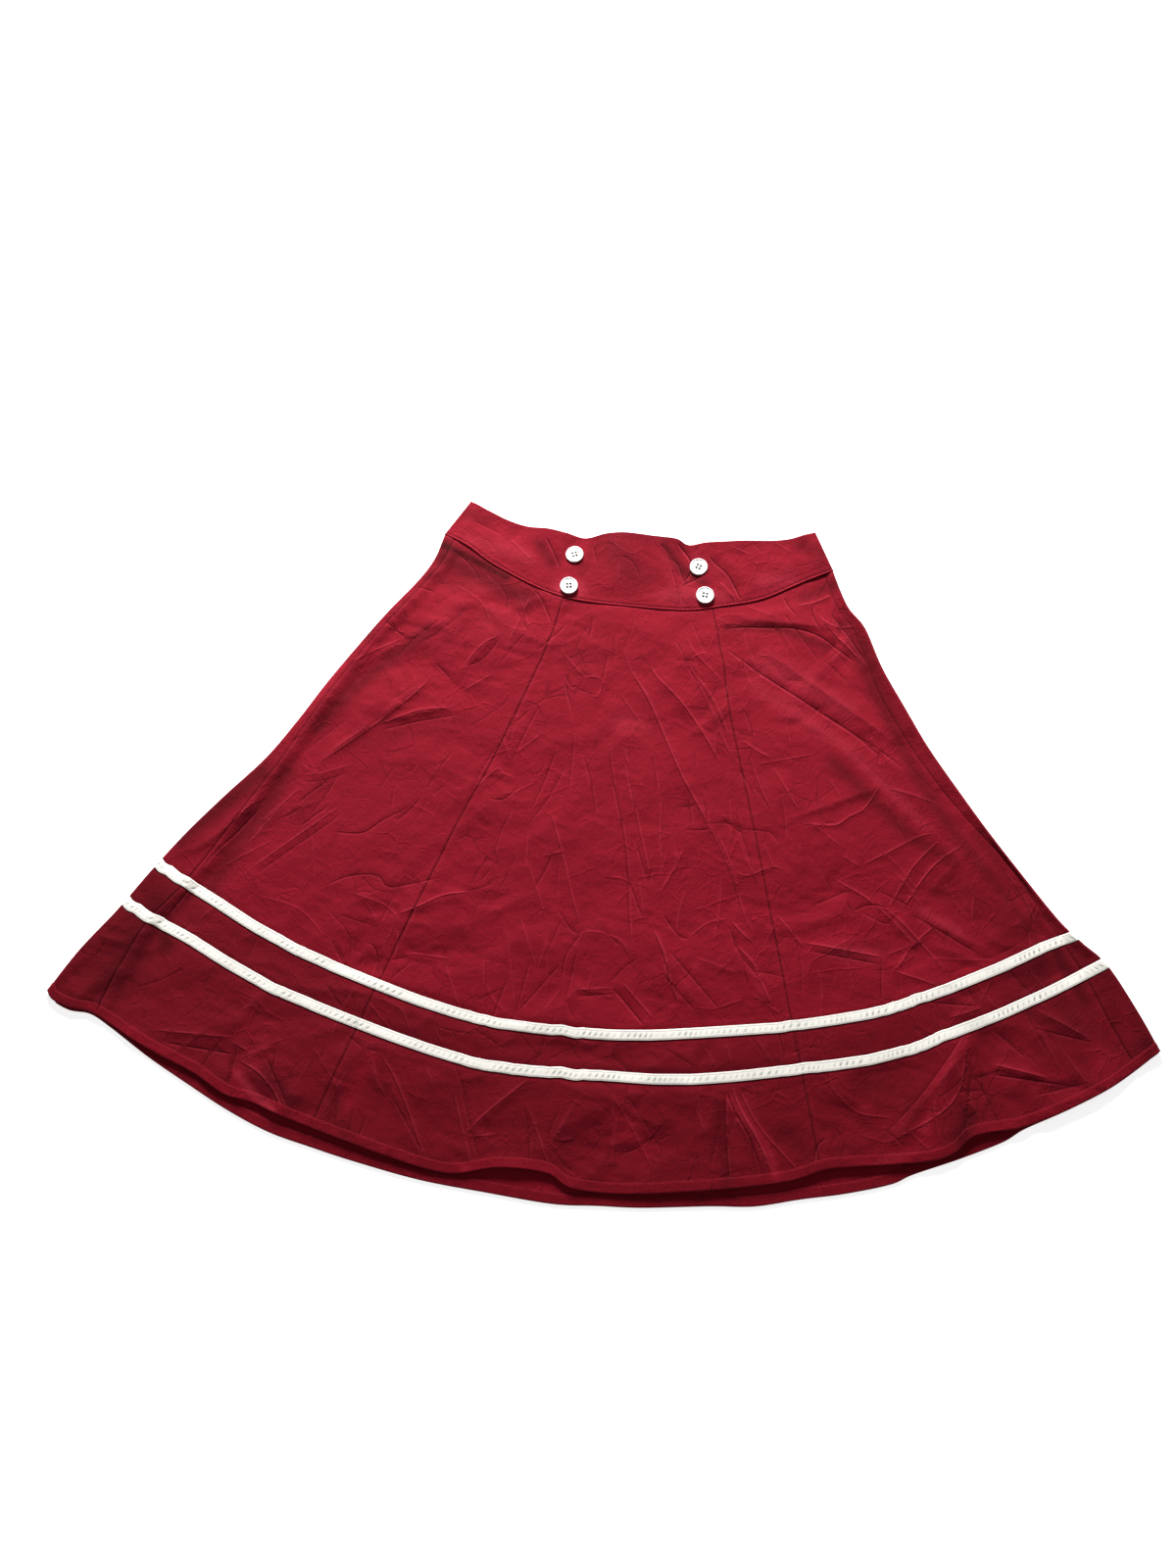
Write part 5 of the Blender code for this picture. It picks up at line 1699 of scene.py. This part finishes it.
class SKIRT_OT_front(bpy.types.Operator):
    """Three gores of the front"""
    bl_idname = "skirt.front"
    bl_label = "Front"

    def execute(self, context):
        cloth = settings(context, "cloth")
        gores = (
            ("front_left", left_seam, left_front, (0.30, 0.66), 0.107),
            ("front_centre", left_front, right_front, (0.46, 0.60), 0.172),
            ("front_right", right_front, right_seam, (0.32, 0.62), 0.118),
        )
        for name, start, stop, flat, area in gores:
            outer, inner, uv, marks = front_sheet(start, stop, in_mm(cloth.spacing), in_mm(cloth.thickness))
            piece = shell("cloth_" + name, outer, inner, uv, finishes["cotton"], marks)
            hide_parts(name)
        return {"FINISHED"}


class SKIRT_OT_back(bpy.types.Operator):
    """Two halves of the back"""
    bl_idname = "skirt.back"
    bl_label = "Back"

    def execute(self, context):
        cloth = settings(context, "cloth")
        for name, side, area in (("back_left", -1, 0.232), ("back_right", 1, 0.223)):
            thickness = in_mm(cloth.thickness) - BACK_THINNER
            outer, inner, uv, marks = back_sheet(side, in_mm(cloth.spacing), thickness)
            if side > 0:
                outer, inner, uv = outer[:, ::-1], inner[:, ::-1], uv[:, ::-1]
                marks = {mark: values[:, ::-1] for mark, values in marks.items()}
            piece = shell("cloth_" + name, outer, inner, uv, finishes["cotton"], marks)
            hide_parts(name)
        return {"FINISHED"}


# Hem: places of its rows, from above its stitch line (over 1) to its edge (0), the share in which its edge
# rounds off, its half-thickness there, how full it is, by how much its rows past a place thin out, the row
# that is stitched and how far its stitches stand out, the mesh spacing, and the share of the painted shade
HEM_SHARES = (1.04, 1.0, 0.93, 0.8, 0.65, 0.5, 0.35, 0.2, 0.1, 0.04, 0.0)
HEM_ROUNDING = 0.1
HEM_EDGE_HALF = 0.12
HEM_FULLNESS = 0.92
HEM_THINNING = ((0.98, 0.45), (1.02, 0.25))
STITCHED_ROW = 1
HEM_STITCH_LIFT = 0.68
FRONT_HEM_SPACING, BACK_HEM_SPACING = 1.05, 1.3
FRONT_HEM_DARK, BACK_HEM_DARK = 0.8, 0.7

# Rope-like puckers of the hem: length, slant and height
ROPE_PITCH = 6.4
ROPE_SLANT = 0.55
ROPE_HEIGHT = 0.09


def hem_strip(name, grid, normals, travel, flip, dark):
    """Turned-up hem: rows from its stitch line to its edge, with the rope-like puckers that hems get with
    long use, and painted light and shade on them.
    """
    shares = np.array(HEM_SHARES)[:, None]
    edge = np.clip(shares / HEM_ROUNDING, 0, 1)
    half = HEM_EDGE_HALF + (CLOTH + HEM_EXTRA) / 2 * HEM_FULLNESS * np.sqrt(1 - (1 - edge) ** 2)
    for place, thinner in HEM_THINNING:
        half = half * (1 - thinner * (shares > place))
    wander = lattice_noise(travel, 0 * travel, 30, 61)
    strength = 0.55 + 0.45 * lattice_noise(travel, 0 * travel, 55, 62)
    wave = np.sin(2 * math.pi * (travel / ROPE_PITCH + ROPE_SLANT * shares) + 2.2 * wander)
    puckers = wave * np.sin(math.pi * np.clip(shares, 0, 1)) * strength
    rope = ROPE_HEIGHT * puckers
    outer = grid + normals * (half + rope)[..., None]
    under = grid - normals * (half + 0.5 * rope)[..., None]
    uv = np.stack(np.broadcast_arrays(travel, HEM_DEPTH * (1 - shares)), axis=-1)
    # Crest mark: painted light on the puckers' tops, painted shade in their hollows and on the rows at and
    # above the stitch line
    crest = np.clip(0.25 * puckers, -1, 1) - 0.5 * (shares > 0.95)
    piece = loop_strip(name, outer, under, uv, {"crest": (crest, crest), "dark": (dark, dark)},
                       finishes["cotton"], flip=flip)


class SKIRT_OT_hem(bpy.types.Operator):
    """Turned-up hems of the front and of the back halves, with their stitches"""
    bl_idname = "skirt.hem"
    bl_label = "Hem"

    def execute(self, context):
        trim = settings(context, "trim")
        rows = LAST_ROW - np.array(HEM_SHARES)
        row_grid, across, points, travel = front_strip(rows, LAST_ROW, FRONT_HEM_SPACING)
        top = skirt_top(np.minimum(row_grid, HEM_ROW + 0.1), across, points)
        grid = raise_to(points, top - CLOTH / 2)
        normals = normals_of(grid)
        # Painted shade of the hem below the upper tape, with the painted streaks
        dark = FRONT_HEM_DARK + painted_streaks(grid[..., 0], grid[..., 1], PAINTED_STREAKS)
        hem_strip("hem_front", grid, normals, travel, True, dark)
        self.sew("hem_front_stitches", grid[STITCHED_ROW], normals[STITCHED_ROW], trim)
        for name, side in (("left", -1), ("right", 1)):
            grid, normals, uv, layer = back_section(rows, side, BACK_HEM_SPACING, TRIM_STEPS, 1.2, HEM_EXTRA)
            grid[..., 2] = np.maximum(grid[..., 2], (CLOTH + HEM_EXTRA) / 2 + 0.2 * (1 - layer))
            dark = BACK_HEM_DARK + layer * painted_streaks(grid[..., 0], grid[..., 1], PAINTED_STREAKS)
            hem_strip("hem_back_" + name, grid, normals, uv[:1, :, 0], side > 0, dark)
            line, facing = grid[STITCHED_ROW], normals[STITCHED_ROW]
            below, above = layer[0] < 0.1, layer[0] > 0.9
            self.sew("hem_back_" + name + "_stitches", line[below], -facing[below], trim)
            self.sew("hem_wrap_" + name + "_stitches", line[above], facing[above], trim)
        return {"FINISHED"}

    @staticmethod
    def sew(name, line, normals, trim):
        piece = stitch_line(name, line + normals * HEM_STITCH_LIFT, normals, in_mm(trim.stitch_length),
                            pitch=3.1, width=0.42, height=0.34, finish=finishes["red thread"])


# Waistband: distances of its outermost rows and columns from its edges, the piped edge above the waist seam
# and the rows that draw it, the row that is stitched, and the mesh spacing of the front and of the back
BAND_EDGE = (0.0, 0.12, 0.4, 0.9, 1.8)
PIPING = 2.5
PIPING_STEPS = (5.2, 4.4, 3.7, 3.1, 2.7, 2.3, 1.8, 1.25, 0.7, 0.3, 0.08, 0.0)
BAND_STITCH_ROW = PIPING_STEPS.index(3.1) - len(PIPING_STEPS)
FRONT_BAND_SPACING, BACK_BAND_SPACING = 1.7, 4.0


def bulge(distance, place, width):
    """Soft ridge, 1 high, at a place."""
    return np.exp(-((distance - place) / width) ** 2)


def band_grid(spacing, top_inset, back=False):
    """Waistband's grid: place across, distances from top and seam, plan places, distance from its edges."""
    ends = np.array(BAND_EDGE) / WAIST_WIDTH
    count = 2 * round(WAIST_WIDTH / spacing / 2)
    middle = np.linspace(ends[-1], 1 - ends[-1], count + 1)
    across = np.concatenate((ends[:-1], middle, (1 - ends[:-1])[::-1]))
    depth = np.linalg.norm(band_plan(across, 1.0) - band_plan(across, 0.0), axis=-1)
    upper, lower = BAND_EDGE, (BAND_EDGE[::-1] if back else PIPING_STEPS)
    inside = depth - upper[-1] - lower[0] - top_inset
    steps = 2 * round(float(depth.max()) / spacing / 2)
    if (len(upper) + len(lower)) % 2 == 0:
        steps += 1
    rows = [top_inset + step + 0 * depth for step in upper]
    rows += [top_inset + upper[-1] + inside * step / steps for step in range(1, steps)]
    rows += [depth - step for step in lower]
    from_top = np.array(rows)
    across = np.broadcast_to(across, from_top.shape)
    from_seam = depth[None] - from_top
    from_end = np.minimum(across, 1 - across) * WAIST_WIDTH
    from_edge = np.minimum(np.minimum(from_top - top_inset, from_seam), from_end)
    return across, from_top, from_seam, band_plan(across, from_top / depth), np.maximum(from_edge, 0)


def rounded(distance, half):
    """How far a wall's face lies below its middle height near an edge."""
    inside = np.clip(distance / half, 0, 1)
    return half * (1 - np.sqrt(1 - (1 - inside) ** 2))


def front_band_height(across, points, from_seam):
    """Height of the outer face of the front waistband."""
    x, y = points[..., 0], points[..., 1]
    from_end = np.minimum(across, 1 - across) * WAIST_WIDTH
    fine = crease_height(x, y, BAND_CREASES) + 0.55 * crumple(x + 300, y)
    calm = 0.25 + 0.75 * ease((from_seam - 3) / 10) * ease(from_end / 10)
    sunk = 0.9 * (1 - ease((from_seam - 2) / 22)) * ease(from_end / BAND_END)
    piping = 0.42 * np.sqrt(np.clip(1 - ((from_seam - PIPING / 2) / (PIPING / 2)) ** 2, 0, 1))
    ditch = 0.5 * bulge(from_seam, PIPING + 0.35, 0.55)
    edge_line = 0.12 * bulge(from_seam, 8.5, 1.2)
    top = band_lift(across, points) + BAND_CLOTH + SHEET_ROOM
    return top - sunk + fine * calm + piping - ditch - edge_line


class SKIRT_OT_waistband(bpy.types.Operator):
    """Front and back of the waistband, with the stitches above the waist seam"""
    bl_idname = "skirt.waistband"
    bl_label = "Waistband"

    def execute(self, context):
        trim = settings(context, "trim")
        across, from_top, from_seam, points, from_edge = band_grid(FRONT_BAND_SPACING, 0.0)
        outer_height = front_band_height(across, points, from_seam)
        drop = rounded(from_edge, BAND_CLOTH / 2)
        outer = raise_to(points, outer_height - drop)
        inner = raise_to(points, outer_height - BAND_CLOTH + drop)
        uv = np.stack(((across - 0.5) * WAIST_WIDTH, -from_top), axis=-1)
        # Crest mark: painted light on the band's crests and the piping's top, painted shade in its hollows,
        # in the ditch above the piping and at its lower edge
        crest = np.clip(crest_of(outer[..., 2]) * (from_seam > 4) * (from_top > 4)
                        + 0.9 * bulge(from_seam, 1.5, 0.7) - bulge(from_seam, PIPING + 0.3, 0.5)
                        - 1.0 * (from_seam < 0.35), -1, 1)
        x, y = points[..., 0], points[..., 1]
        line, fold = crease_lines(x, y, BAND_CREASES)
        # The band's dark mark: streaks of painted shade and painted light
        piece = shell("cloth_waistband_front", outer, inner, uv, finishes["cotton"],
                      {"crest": crest, "line": line, "fold": fold, "dark": painted_streaks(x, y, BAND_PAINTED_STREAKS)})
        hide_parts("waistband_front")
        line, normals = outer[BAND_STITCH_ROW], normals_of(outer)[BAND_STITCH_ROW]
        stitches = stitch_line("waist_stitches", line, normals, in_mm(trim.stitch_length),
                               pitch=3.0, width=0.4, height=0.32, finish=finishes["red thread"])
        self.back()
        return {"FINISHED"}

    @staticmethod
    def back():
        across, from_top, _, points, from_edge = band_grid(BACK_BAND_SPACING, BACK_BAND_INSET, back=True)
        drop = rounded(from_edge, BAND_CLOTH / 2)
        centre = across.shape[1] // 2
        uv = np.stack(((across - 0.5) * WAIST_WIDTH, -from_top), axis=-1)
        halves = (("left", slice(0, centre + 1), 0.0125), ("right", slice(centre, None), 0.0133))
        for name, columns, area in halves:
            under = raise_to(points, 0.05 + drop)[:, columns]
            over = raise_to(points, BAND_CLOTH - drop)[:, columns]
            piece = shell("cloth_waistband_back_" + name, over, under, uv[:, columns], finishes["cotton"])
            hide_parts("waistband_back_" + name)


# Tapes: shares of their width where their rows lie, rows and place of the stitches along each edge, sink of
# the stitches underneath, pitch, drift and depth of the dents, height of the body, pitch of the edge ripples
TAPE_PROFILE = (0.0, 0.02, 0.06, 0.14, 0.26, 0.38, 0.5, 0.62, 0.74, 0.86, 0.94, 0.98, 1.0)
TAPE_STITCH_ROWS = (("a", 3), ("b", -4))
TAPE_STITCH_INSET = 0.13
UNDER_STITCH_SINK = 0.16
DENT_PITCH = 5.8
DENT_DRIFT = 5.2
DENT_DEPTH = 0.34
BODY_HEIGHT = 0.08
RIPPLE_PITCH = 2.6


def tape_strip(name, grid, normals, travel, thickness, flip):
    """Tape laid on a surface, rounded at its edges, held down by its stitches and puckered between them."""
    share = np.array(TAPE_PROFILE)[:, None]
    from_edge = np.minimum(share, 1 - share) * TAPE_WIDTH
    body = thickness * (0.3 + 0.7 * np.sqrt(1 - (1 - np.clip(from_edge / 0.3, 0, 1)) ** 2))
    sewn = bulge(from_edge, TAPE_STITCH_INSET * TAPE_WIDTH, 0.55)
    between = np.clip((share - TAPE_STITCH_INSET) / (1 - 2 * TAPE_STITCH_INSET), 0, 1)
    middle = np.clip(np.sin(math.pi * between), 0, 1)
    drift = lattice_noise(travel, 0 * travel, 23, 71)
    phase = 2 * math.pi * (travel / DENT_PITCH + 1.1 * (share - 0.5)) + DENT_DRIFT * drift
    strength = np.clip(0.65 + 0.8 * lattice_noise(travel, 0 * travel, 13, 72), 0.1, 1.3)
    dents = np.clip(np.sin(phase) - 0.35, 0, 1) / 0.65 * bulge(share, 0.54, 0.17) * strength
    relief = BODY_HEIGHT * middle - 0.07 * sewn - DENT_DEPTH * dents
    ripple = 0.03 * np.sin(2 * math.pi * travel / RIPPLE_PITCH) * (1 - middle)
    outer = grid + normals * (0.06 + body + relief + ripple)[..., None]
    uv = np.stack(np.broadcast_arrays(travel, share * TAPE_WIDTH), axis=-1)
    # Crest mark: painted shade in the dents and along the stitch lines
    crest = np.clip(-dents - 0.1 * sewn, -1, 1)
    piece = loop_strip(name, outer, grid + normals * 0.03, uv, {"crest": (crest, 0 * crest)},
                       finishes["tape"], slice(1, -1, 3), flip)
    return piece, outer


class SKIRT_OT_tapes(bpy.types.Operator):
    """Two tapes round the skirt, with their stitches"""
    bl_idname = "skirt.tapes"
    bl_label = "Tapes"

    def execute(self, context):
        trim = settings(context, "trim")
        thickness = in_mm(trim.tape_thickness)
        shares = np.array(TAPE_PROFILE)
        for which, tape_row in (("upper", UPPER_TAPE_ROW), ("lower", LOWER_TAPE_ROW)):
            rows = tape_row + shares
            row_grid, across, points, travel = front_strip(rows, tape_row + 0.5, 1.0)
            grid = raise_to(points, skirt_top(row_grid, across, points))
            self.lay(which + "_front", grid, normals_of(grid), travel, thickness, trim,
                     True, (0.98, 0.0101), 0.0094, ["front_left", "front_centre", "front_right"])
            for back, side in (("back_left", -1), ("back_right", 1)):
                grid, normals, uv, layer = back_section(rows, side, 1.6, TRIM_STEPS, 1.0)
                layer = layer[..., None]
                grid = grid + normals * (CLOTH / 2 - (UNDERSIDE_ROOM - 0.02) * (1 - layer))
                self.lay(which + "_" + back, grid, normals, uv[:1, :, 0], thickness * 0.5, trim,
                         side > 0, (0.56, 0.0101), 0.0054, [back], UNDER_STITCH_SINK)
        return {"FINISHED"}

    @staticmethod
    def lay(place, grid, normals, travel, thickness, trim, flip, flat, area, below, sink=0.0):
        piece, outer = tape_strip("ribbon_" + place, grid, normals, travel, thickness, flip)
        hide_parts("tape_" + place)
        for edge, row in TAPE_STITCH_ROWS:
            stitches = stitch_line("ribbon_" + place + "_stitches_" + edge, outer[row], normals[row],
                                   in_mm(trim.stitch_length) * 0.85, pitch=2.7, width=0.4, height=0.3,
                                   finish=finishes["white thread"], sink=sink)


# Buttons, in metres: the rings of their face (how far in, how high), the ring of their back, the rounding of
# their edge, the place and radius of their holes, how far they sink into the cloth, and what counts as equal
FACE_RINGS = ((0.0009, 0.0), (0.0006, -0.0005), (0.0018, -0.0001))
BACK_RING = 0.0013
EDGE_ROUNDING = 0.0005
HOLE_PLACE = 0.0017
HOLE_RADIUS = 0.0013
SINK = 0.0004
NEAR = 1e-5

# Thread of a button, in millimetres: its strands' sides, radius and distance from the middle of the holes
STRAND_SIDES = 6
STRAND_RADIUS = 0.09
STRAND_PLACE = 0.12


def build_button(buttons, name):
    """Four-hole button at the origin, made from a disc that is inset, raised, bevelled and drilled."""
    radius, height = buttons.diameter / 2, buttons.height
    bpy.ops.object.select_all(action="DESELECT")
    bpy.ops.mesh.primitive_cylinder_add(vertices=buttons.sides, radius=radius, depth=height,
                                        location=(0, 0, height / 2), end_fill_type="NGON")
    made = bpy.context.active_object
    made.name = name
    bpy.ops.object.transform_apply(location=True, rotation=True, scale=True)
    bpy.ops.object.mode_set(mode="EDIT")
    for inset, rise in FACE_RINGS:
        select_only(made, "FACE", lambda face: face.normal.z > 0.99 and len(face.verts) == buttons.sides)
        bpy.ops.mesh.inset(thickness=inset, depth=rise)
    select_only(made, "FACE", lambda face: face.normal.z < -0.99 and len(face.verts) == buttons.sides)
    bpy.ops.mesh.inset(thickness=BACK_RING, depth=0.0)
    select_only(made, "EDGE", lambda edge: all(abs(vert.co.xy.length - radius) < NEAR for vert in edge.verts)
                and abs(edge.verts[0].co.z - edge.verts[1].co.z) < NEAR)
    bpy.ops.mesh.bevel(offset=EDGE_ROUNDING, segments=4, profile=0.5, affect="EDGES")
    bpy.ops.object.mode_set(mode="OBJECT")
    for column in (-1, 1):
        for row in (-1, 1):
            bpy.ops.object.select_all(action="DESELECT")
            bpy.ops.mesh.primitive_cylinder_add(vertices=20, radius=HOLE_RADIUS, depth=0.012,
                                                location=(column * HOLE_PLACE, row * HOLE_PLACE, 0.001))
            drill = bpy.context.active_object
            bpy.ops.object.select_all(action="DESELECT")
            made.select_set(True)
            bpy.context.view_layer.objects.active = made
            cut = made.modifiers.new("hole", "BOOLEAN")
            cut.object, cut.operation, cut.solver = drill, "DIFFERENCE", "EXACT"
            bpy.ops.object.modifier_apply(modifier=cut.name)
            bpy.data.objects.remove(drill, do_unlink=True)
    bpy.ops.object.shade_smooth_by_angle(angle=math.radians(32))
    made.data.materials.append(finishes["button"])
    made.data.materials.append(finishes["hole"])
    # Faces inside the holes take the near-black hole finish: painted shade
    for face in made.data.polygons:
        face.material_index = int(abs(face.normal.z) < 0.2 and face.center.xy.length < 0.5 * radius)
    return made


def select_only(made, kind, wanted):
    """Select in edit mode only the faces or the edges that are wanted."""
    bpy.ops.mesh.select_mode(type=kind)
    bpy.ops.mesh.select_all(action="DESELECT")
    drawn = bmesh.from_edit_mesh(made.data)
    for part in (drawn.faces if kind == "FACE" else drawn.edges):
        part.select_set(bool(wanted(part)))
    bmesh.update_edit_mesh(made.data)


class SKIRT_OT_buttons(bpy.types.Operator):
    """Four buttons, sewn on with thread"""
    bl_idname = "skirt.buttons"
    bl_label = "Buttons"

    def execute(self, context):
        buttons = settings(context, "buttons")
        for name, x, y, turn in BUTTONS:
            node = "button_" + name
            low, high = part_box(node)
            made = build_button(buttons, "sewn_" + node)
            lean = Vector((0, 0, 1)).rotation_difference(band_normal(x, y)).to_matrix().to_4x4()
            centre = Vector(((low[0] + high[0]) / 2, (low[1] + high[1]) / 2, low[2] - SINK))
            place = Matrix.Translation(centre) @ lean @ Matrix.Rotation(math.radians(turn), 4, "Z")
            made.data.transform(place)
            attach(made, "root")
            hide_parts(node)
            self.thread(node + "_thread", place, buttons)
        return {"FINISHED"}

    @staticmethod
    def thread(name, place, buttons):
        """Two stitches through the holes, each of two threads."""
        hole, dish = in_mm(HOLE_PLACE), in_mm(buttons.height) - 0.75
        points, faces, uv = [], [], []
        for column in (-1, 1):
            for strand in (-1, 1):
                first = len(points)
                x = column * hole + strand * STRAND_PLACE
                path = ((-hole, dish - 1.6), (-hole, dish - 0.1), (-hole + 0.45, dish + 0.28),
                        (0, dish + 0.36), (hole - 0.45, dish + 0.28), (hole, dish - 0.1), (hole, dish - 1.6))
                for index, (y, z) in enumerate(path):
                    before, after = path[max(index - 1, 0)], path[min(index + 1, len(path) - 1)]
                    ahead = Vector((0, after[0] - before[0], after[1] - before[1])).normalized()
                    up = Vector((1, 0, 0)).cross(ahead)
                    for corner in range(STRAND_SIDES):
                        angle = math.tau * corner / STRAND_SIDES
                        offset = (Vector((1, 0, 0)) * math.cos(angle) + up * math.sin(angle)) * STRAND_RADIUS
                        points.append(tuple(place @ ((Vector((x, y, z)) + offset) * MM) / MM))
                        uv.append((index * 0.6, corner * 0.2))
                rings = np.arange(first, len(points)).reshape(-1, STRAND_SIDES)
                closed = np.concatenate((rings, rings[:, :1]), axis=1)
                faces += grid_faces(closed.T) + [rings[0, ::-1].tolist(), rings[-1].tolist()]
        piece = add_piece(name, points, faces, uv, finishes["white thread"])


def band_top_height(x, y):
    """Height of the top of the front waistband at a plan point."""
    point = np.array([[x, y]], float)
    across = np.array([(x - WAIST_SEAM[0][0]) / (WAIST_SEAM[-1][0] - WAIST_SEAM[0][0])])
    return float(band_lift(across, point)[0]) + BAND_CLOTH


def band_normal(x, y, reach=8.0):
    """Way that the front waistband faces at a plan point."""
    slope_x = (band_top_height(x + reach, y) - band_top_height(x - reach, y)) / (2 * reach)
    slope_y = (band_top_height(x, y + reach) - band_top_height(x, y - reach)) / (2 * reach)
    return Vector((-slope_x, -slope_y, 1)).normalized()


STEPS = (SKIRT_OT_stage, SKIRT_OT_back, SKIRT_OT_front, SKIRT_OT_hem, SKIRT_OT_waistband, SKIRT_OT_tapes,
         SKIRT_OT_buttons)


class SKIRT_PT_pieces(bpy.types.Panel):
    """Pieces of the skirt and their sizes"""
    bl_idname = "SKIRT_PT_pieces"
    bl_label = "A-line skirt"
    bl_space_type = "VIEW_3D"
    bl_region_type = "UI"
    bl_category = "Skirt"

    def draw(self, context):
        layout = self.layout
        for step in STEPS:
            layout.operator(step.bl_idname)
        for group in GROUPS:
            box = layout.box()
            for prop in GROUPS[group].__annotations__:
                box.prop(settings(context, group), prop)


GROUPS = {"cloth": SkirtCloth, "trim": SkirtTrim, "buttons": SkirtButtons, "stage": SkirtStage}


def register():
    for group in GROUPS.values():
        bpy.utils.register_class(group)
    for name, group in GROUPS.items():
        setattr(bpy.types.Scene, "skirt_" + name, PointerProperty(type=group))
    for step in STEPS:
        bpy.utils.register_class(step)
    bpy.utils.register_class(SKIRT_PT_pieces)


def unregister():
    bpy.utils.unregister_class(SKIRT_PT_pieces)
    for step in reversed(STEPS):
        bpy.utils.unregister_class(step)
    for name, group in GROUPS.items():
        delattr(bpy.types.Scene, "skirt_" + name)
        bpy.utils.unregister_class(group)


def main():
    register()
    cloth, trim = settings(bpy.context, "cloth"), settings(bpy.context, "trim")
    finishes["cotton"] = cotton_finish(cloth)
    finishes["tape"] = tape_finish(trim)
    finishes["red thread"] = thread_finish("red thread", trim.red_thread, 0.6)
    finishes["white thread"] = thread_finish("white thread", trim.white_thread, 0.55)
    buttons = settings(bpy.context, "buttons")
    finishes["button"] = button_finish("button", buttons.shade_colour, buttons.colour)
    # Near-black hole finish: painted shade inside the holes
    finishes["hole"] = button_finish("hole", buttons.hole_shade_colour, buttons.hole_shade_colour)
    for step in STEPS:
        group, name = step.bl_idname.split(".")
        getattr(getattr(bpy.ops, group), name)()


if __name__ == "__main__":
    main()
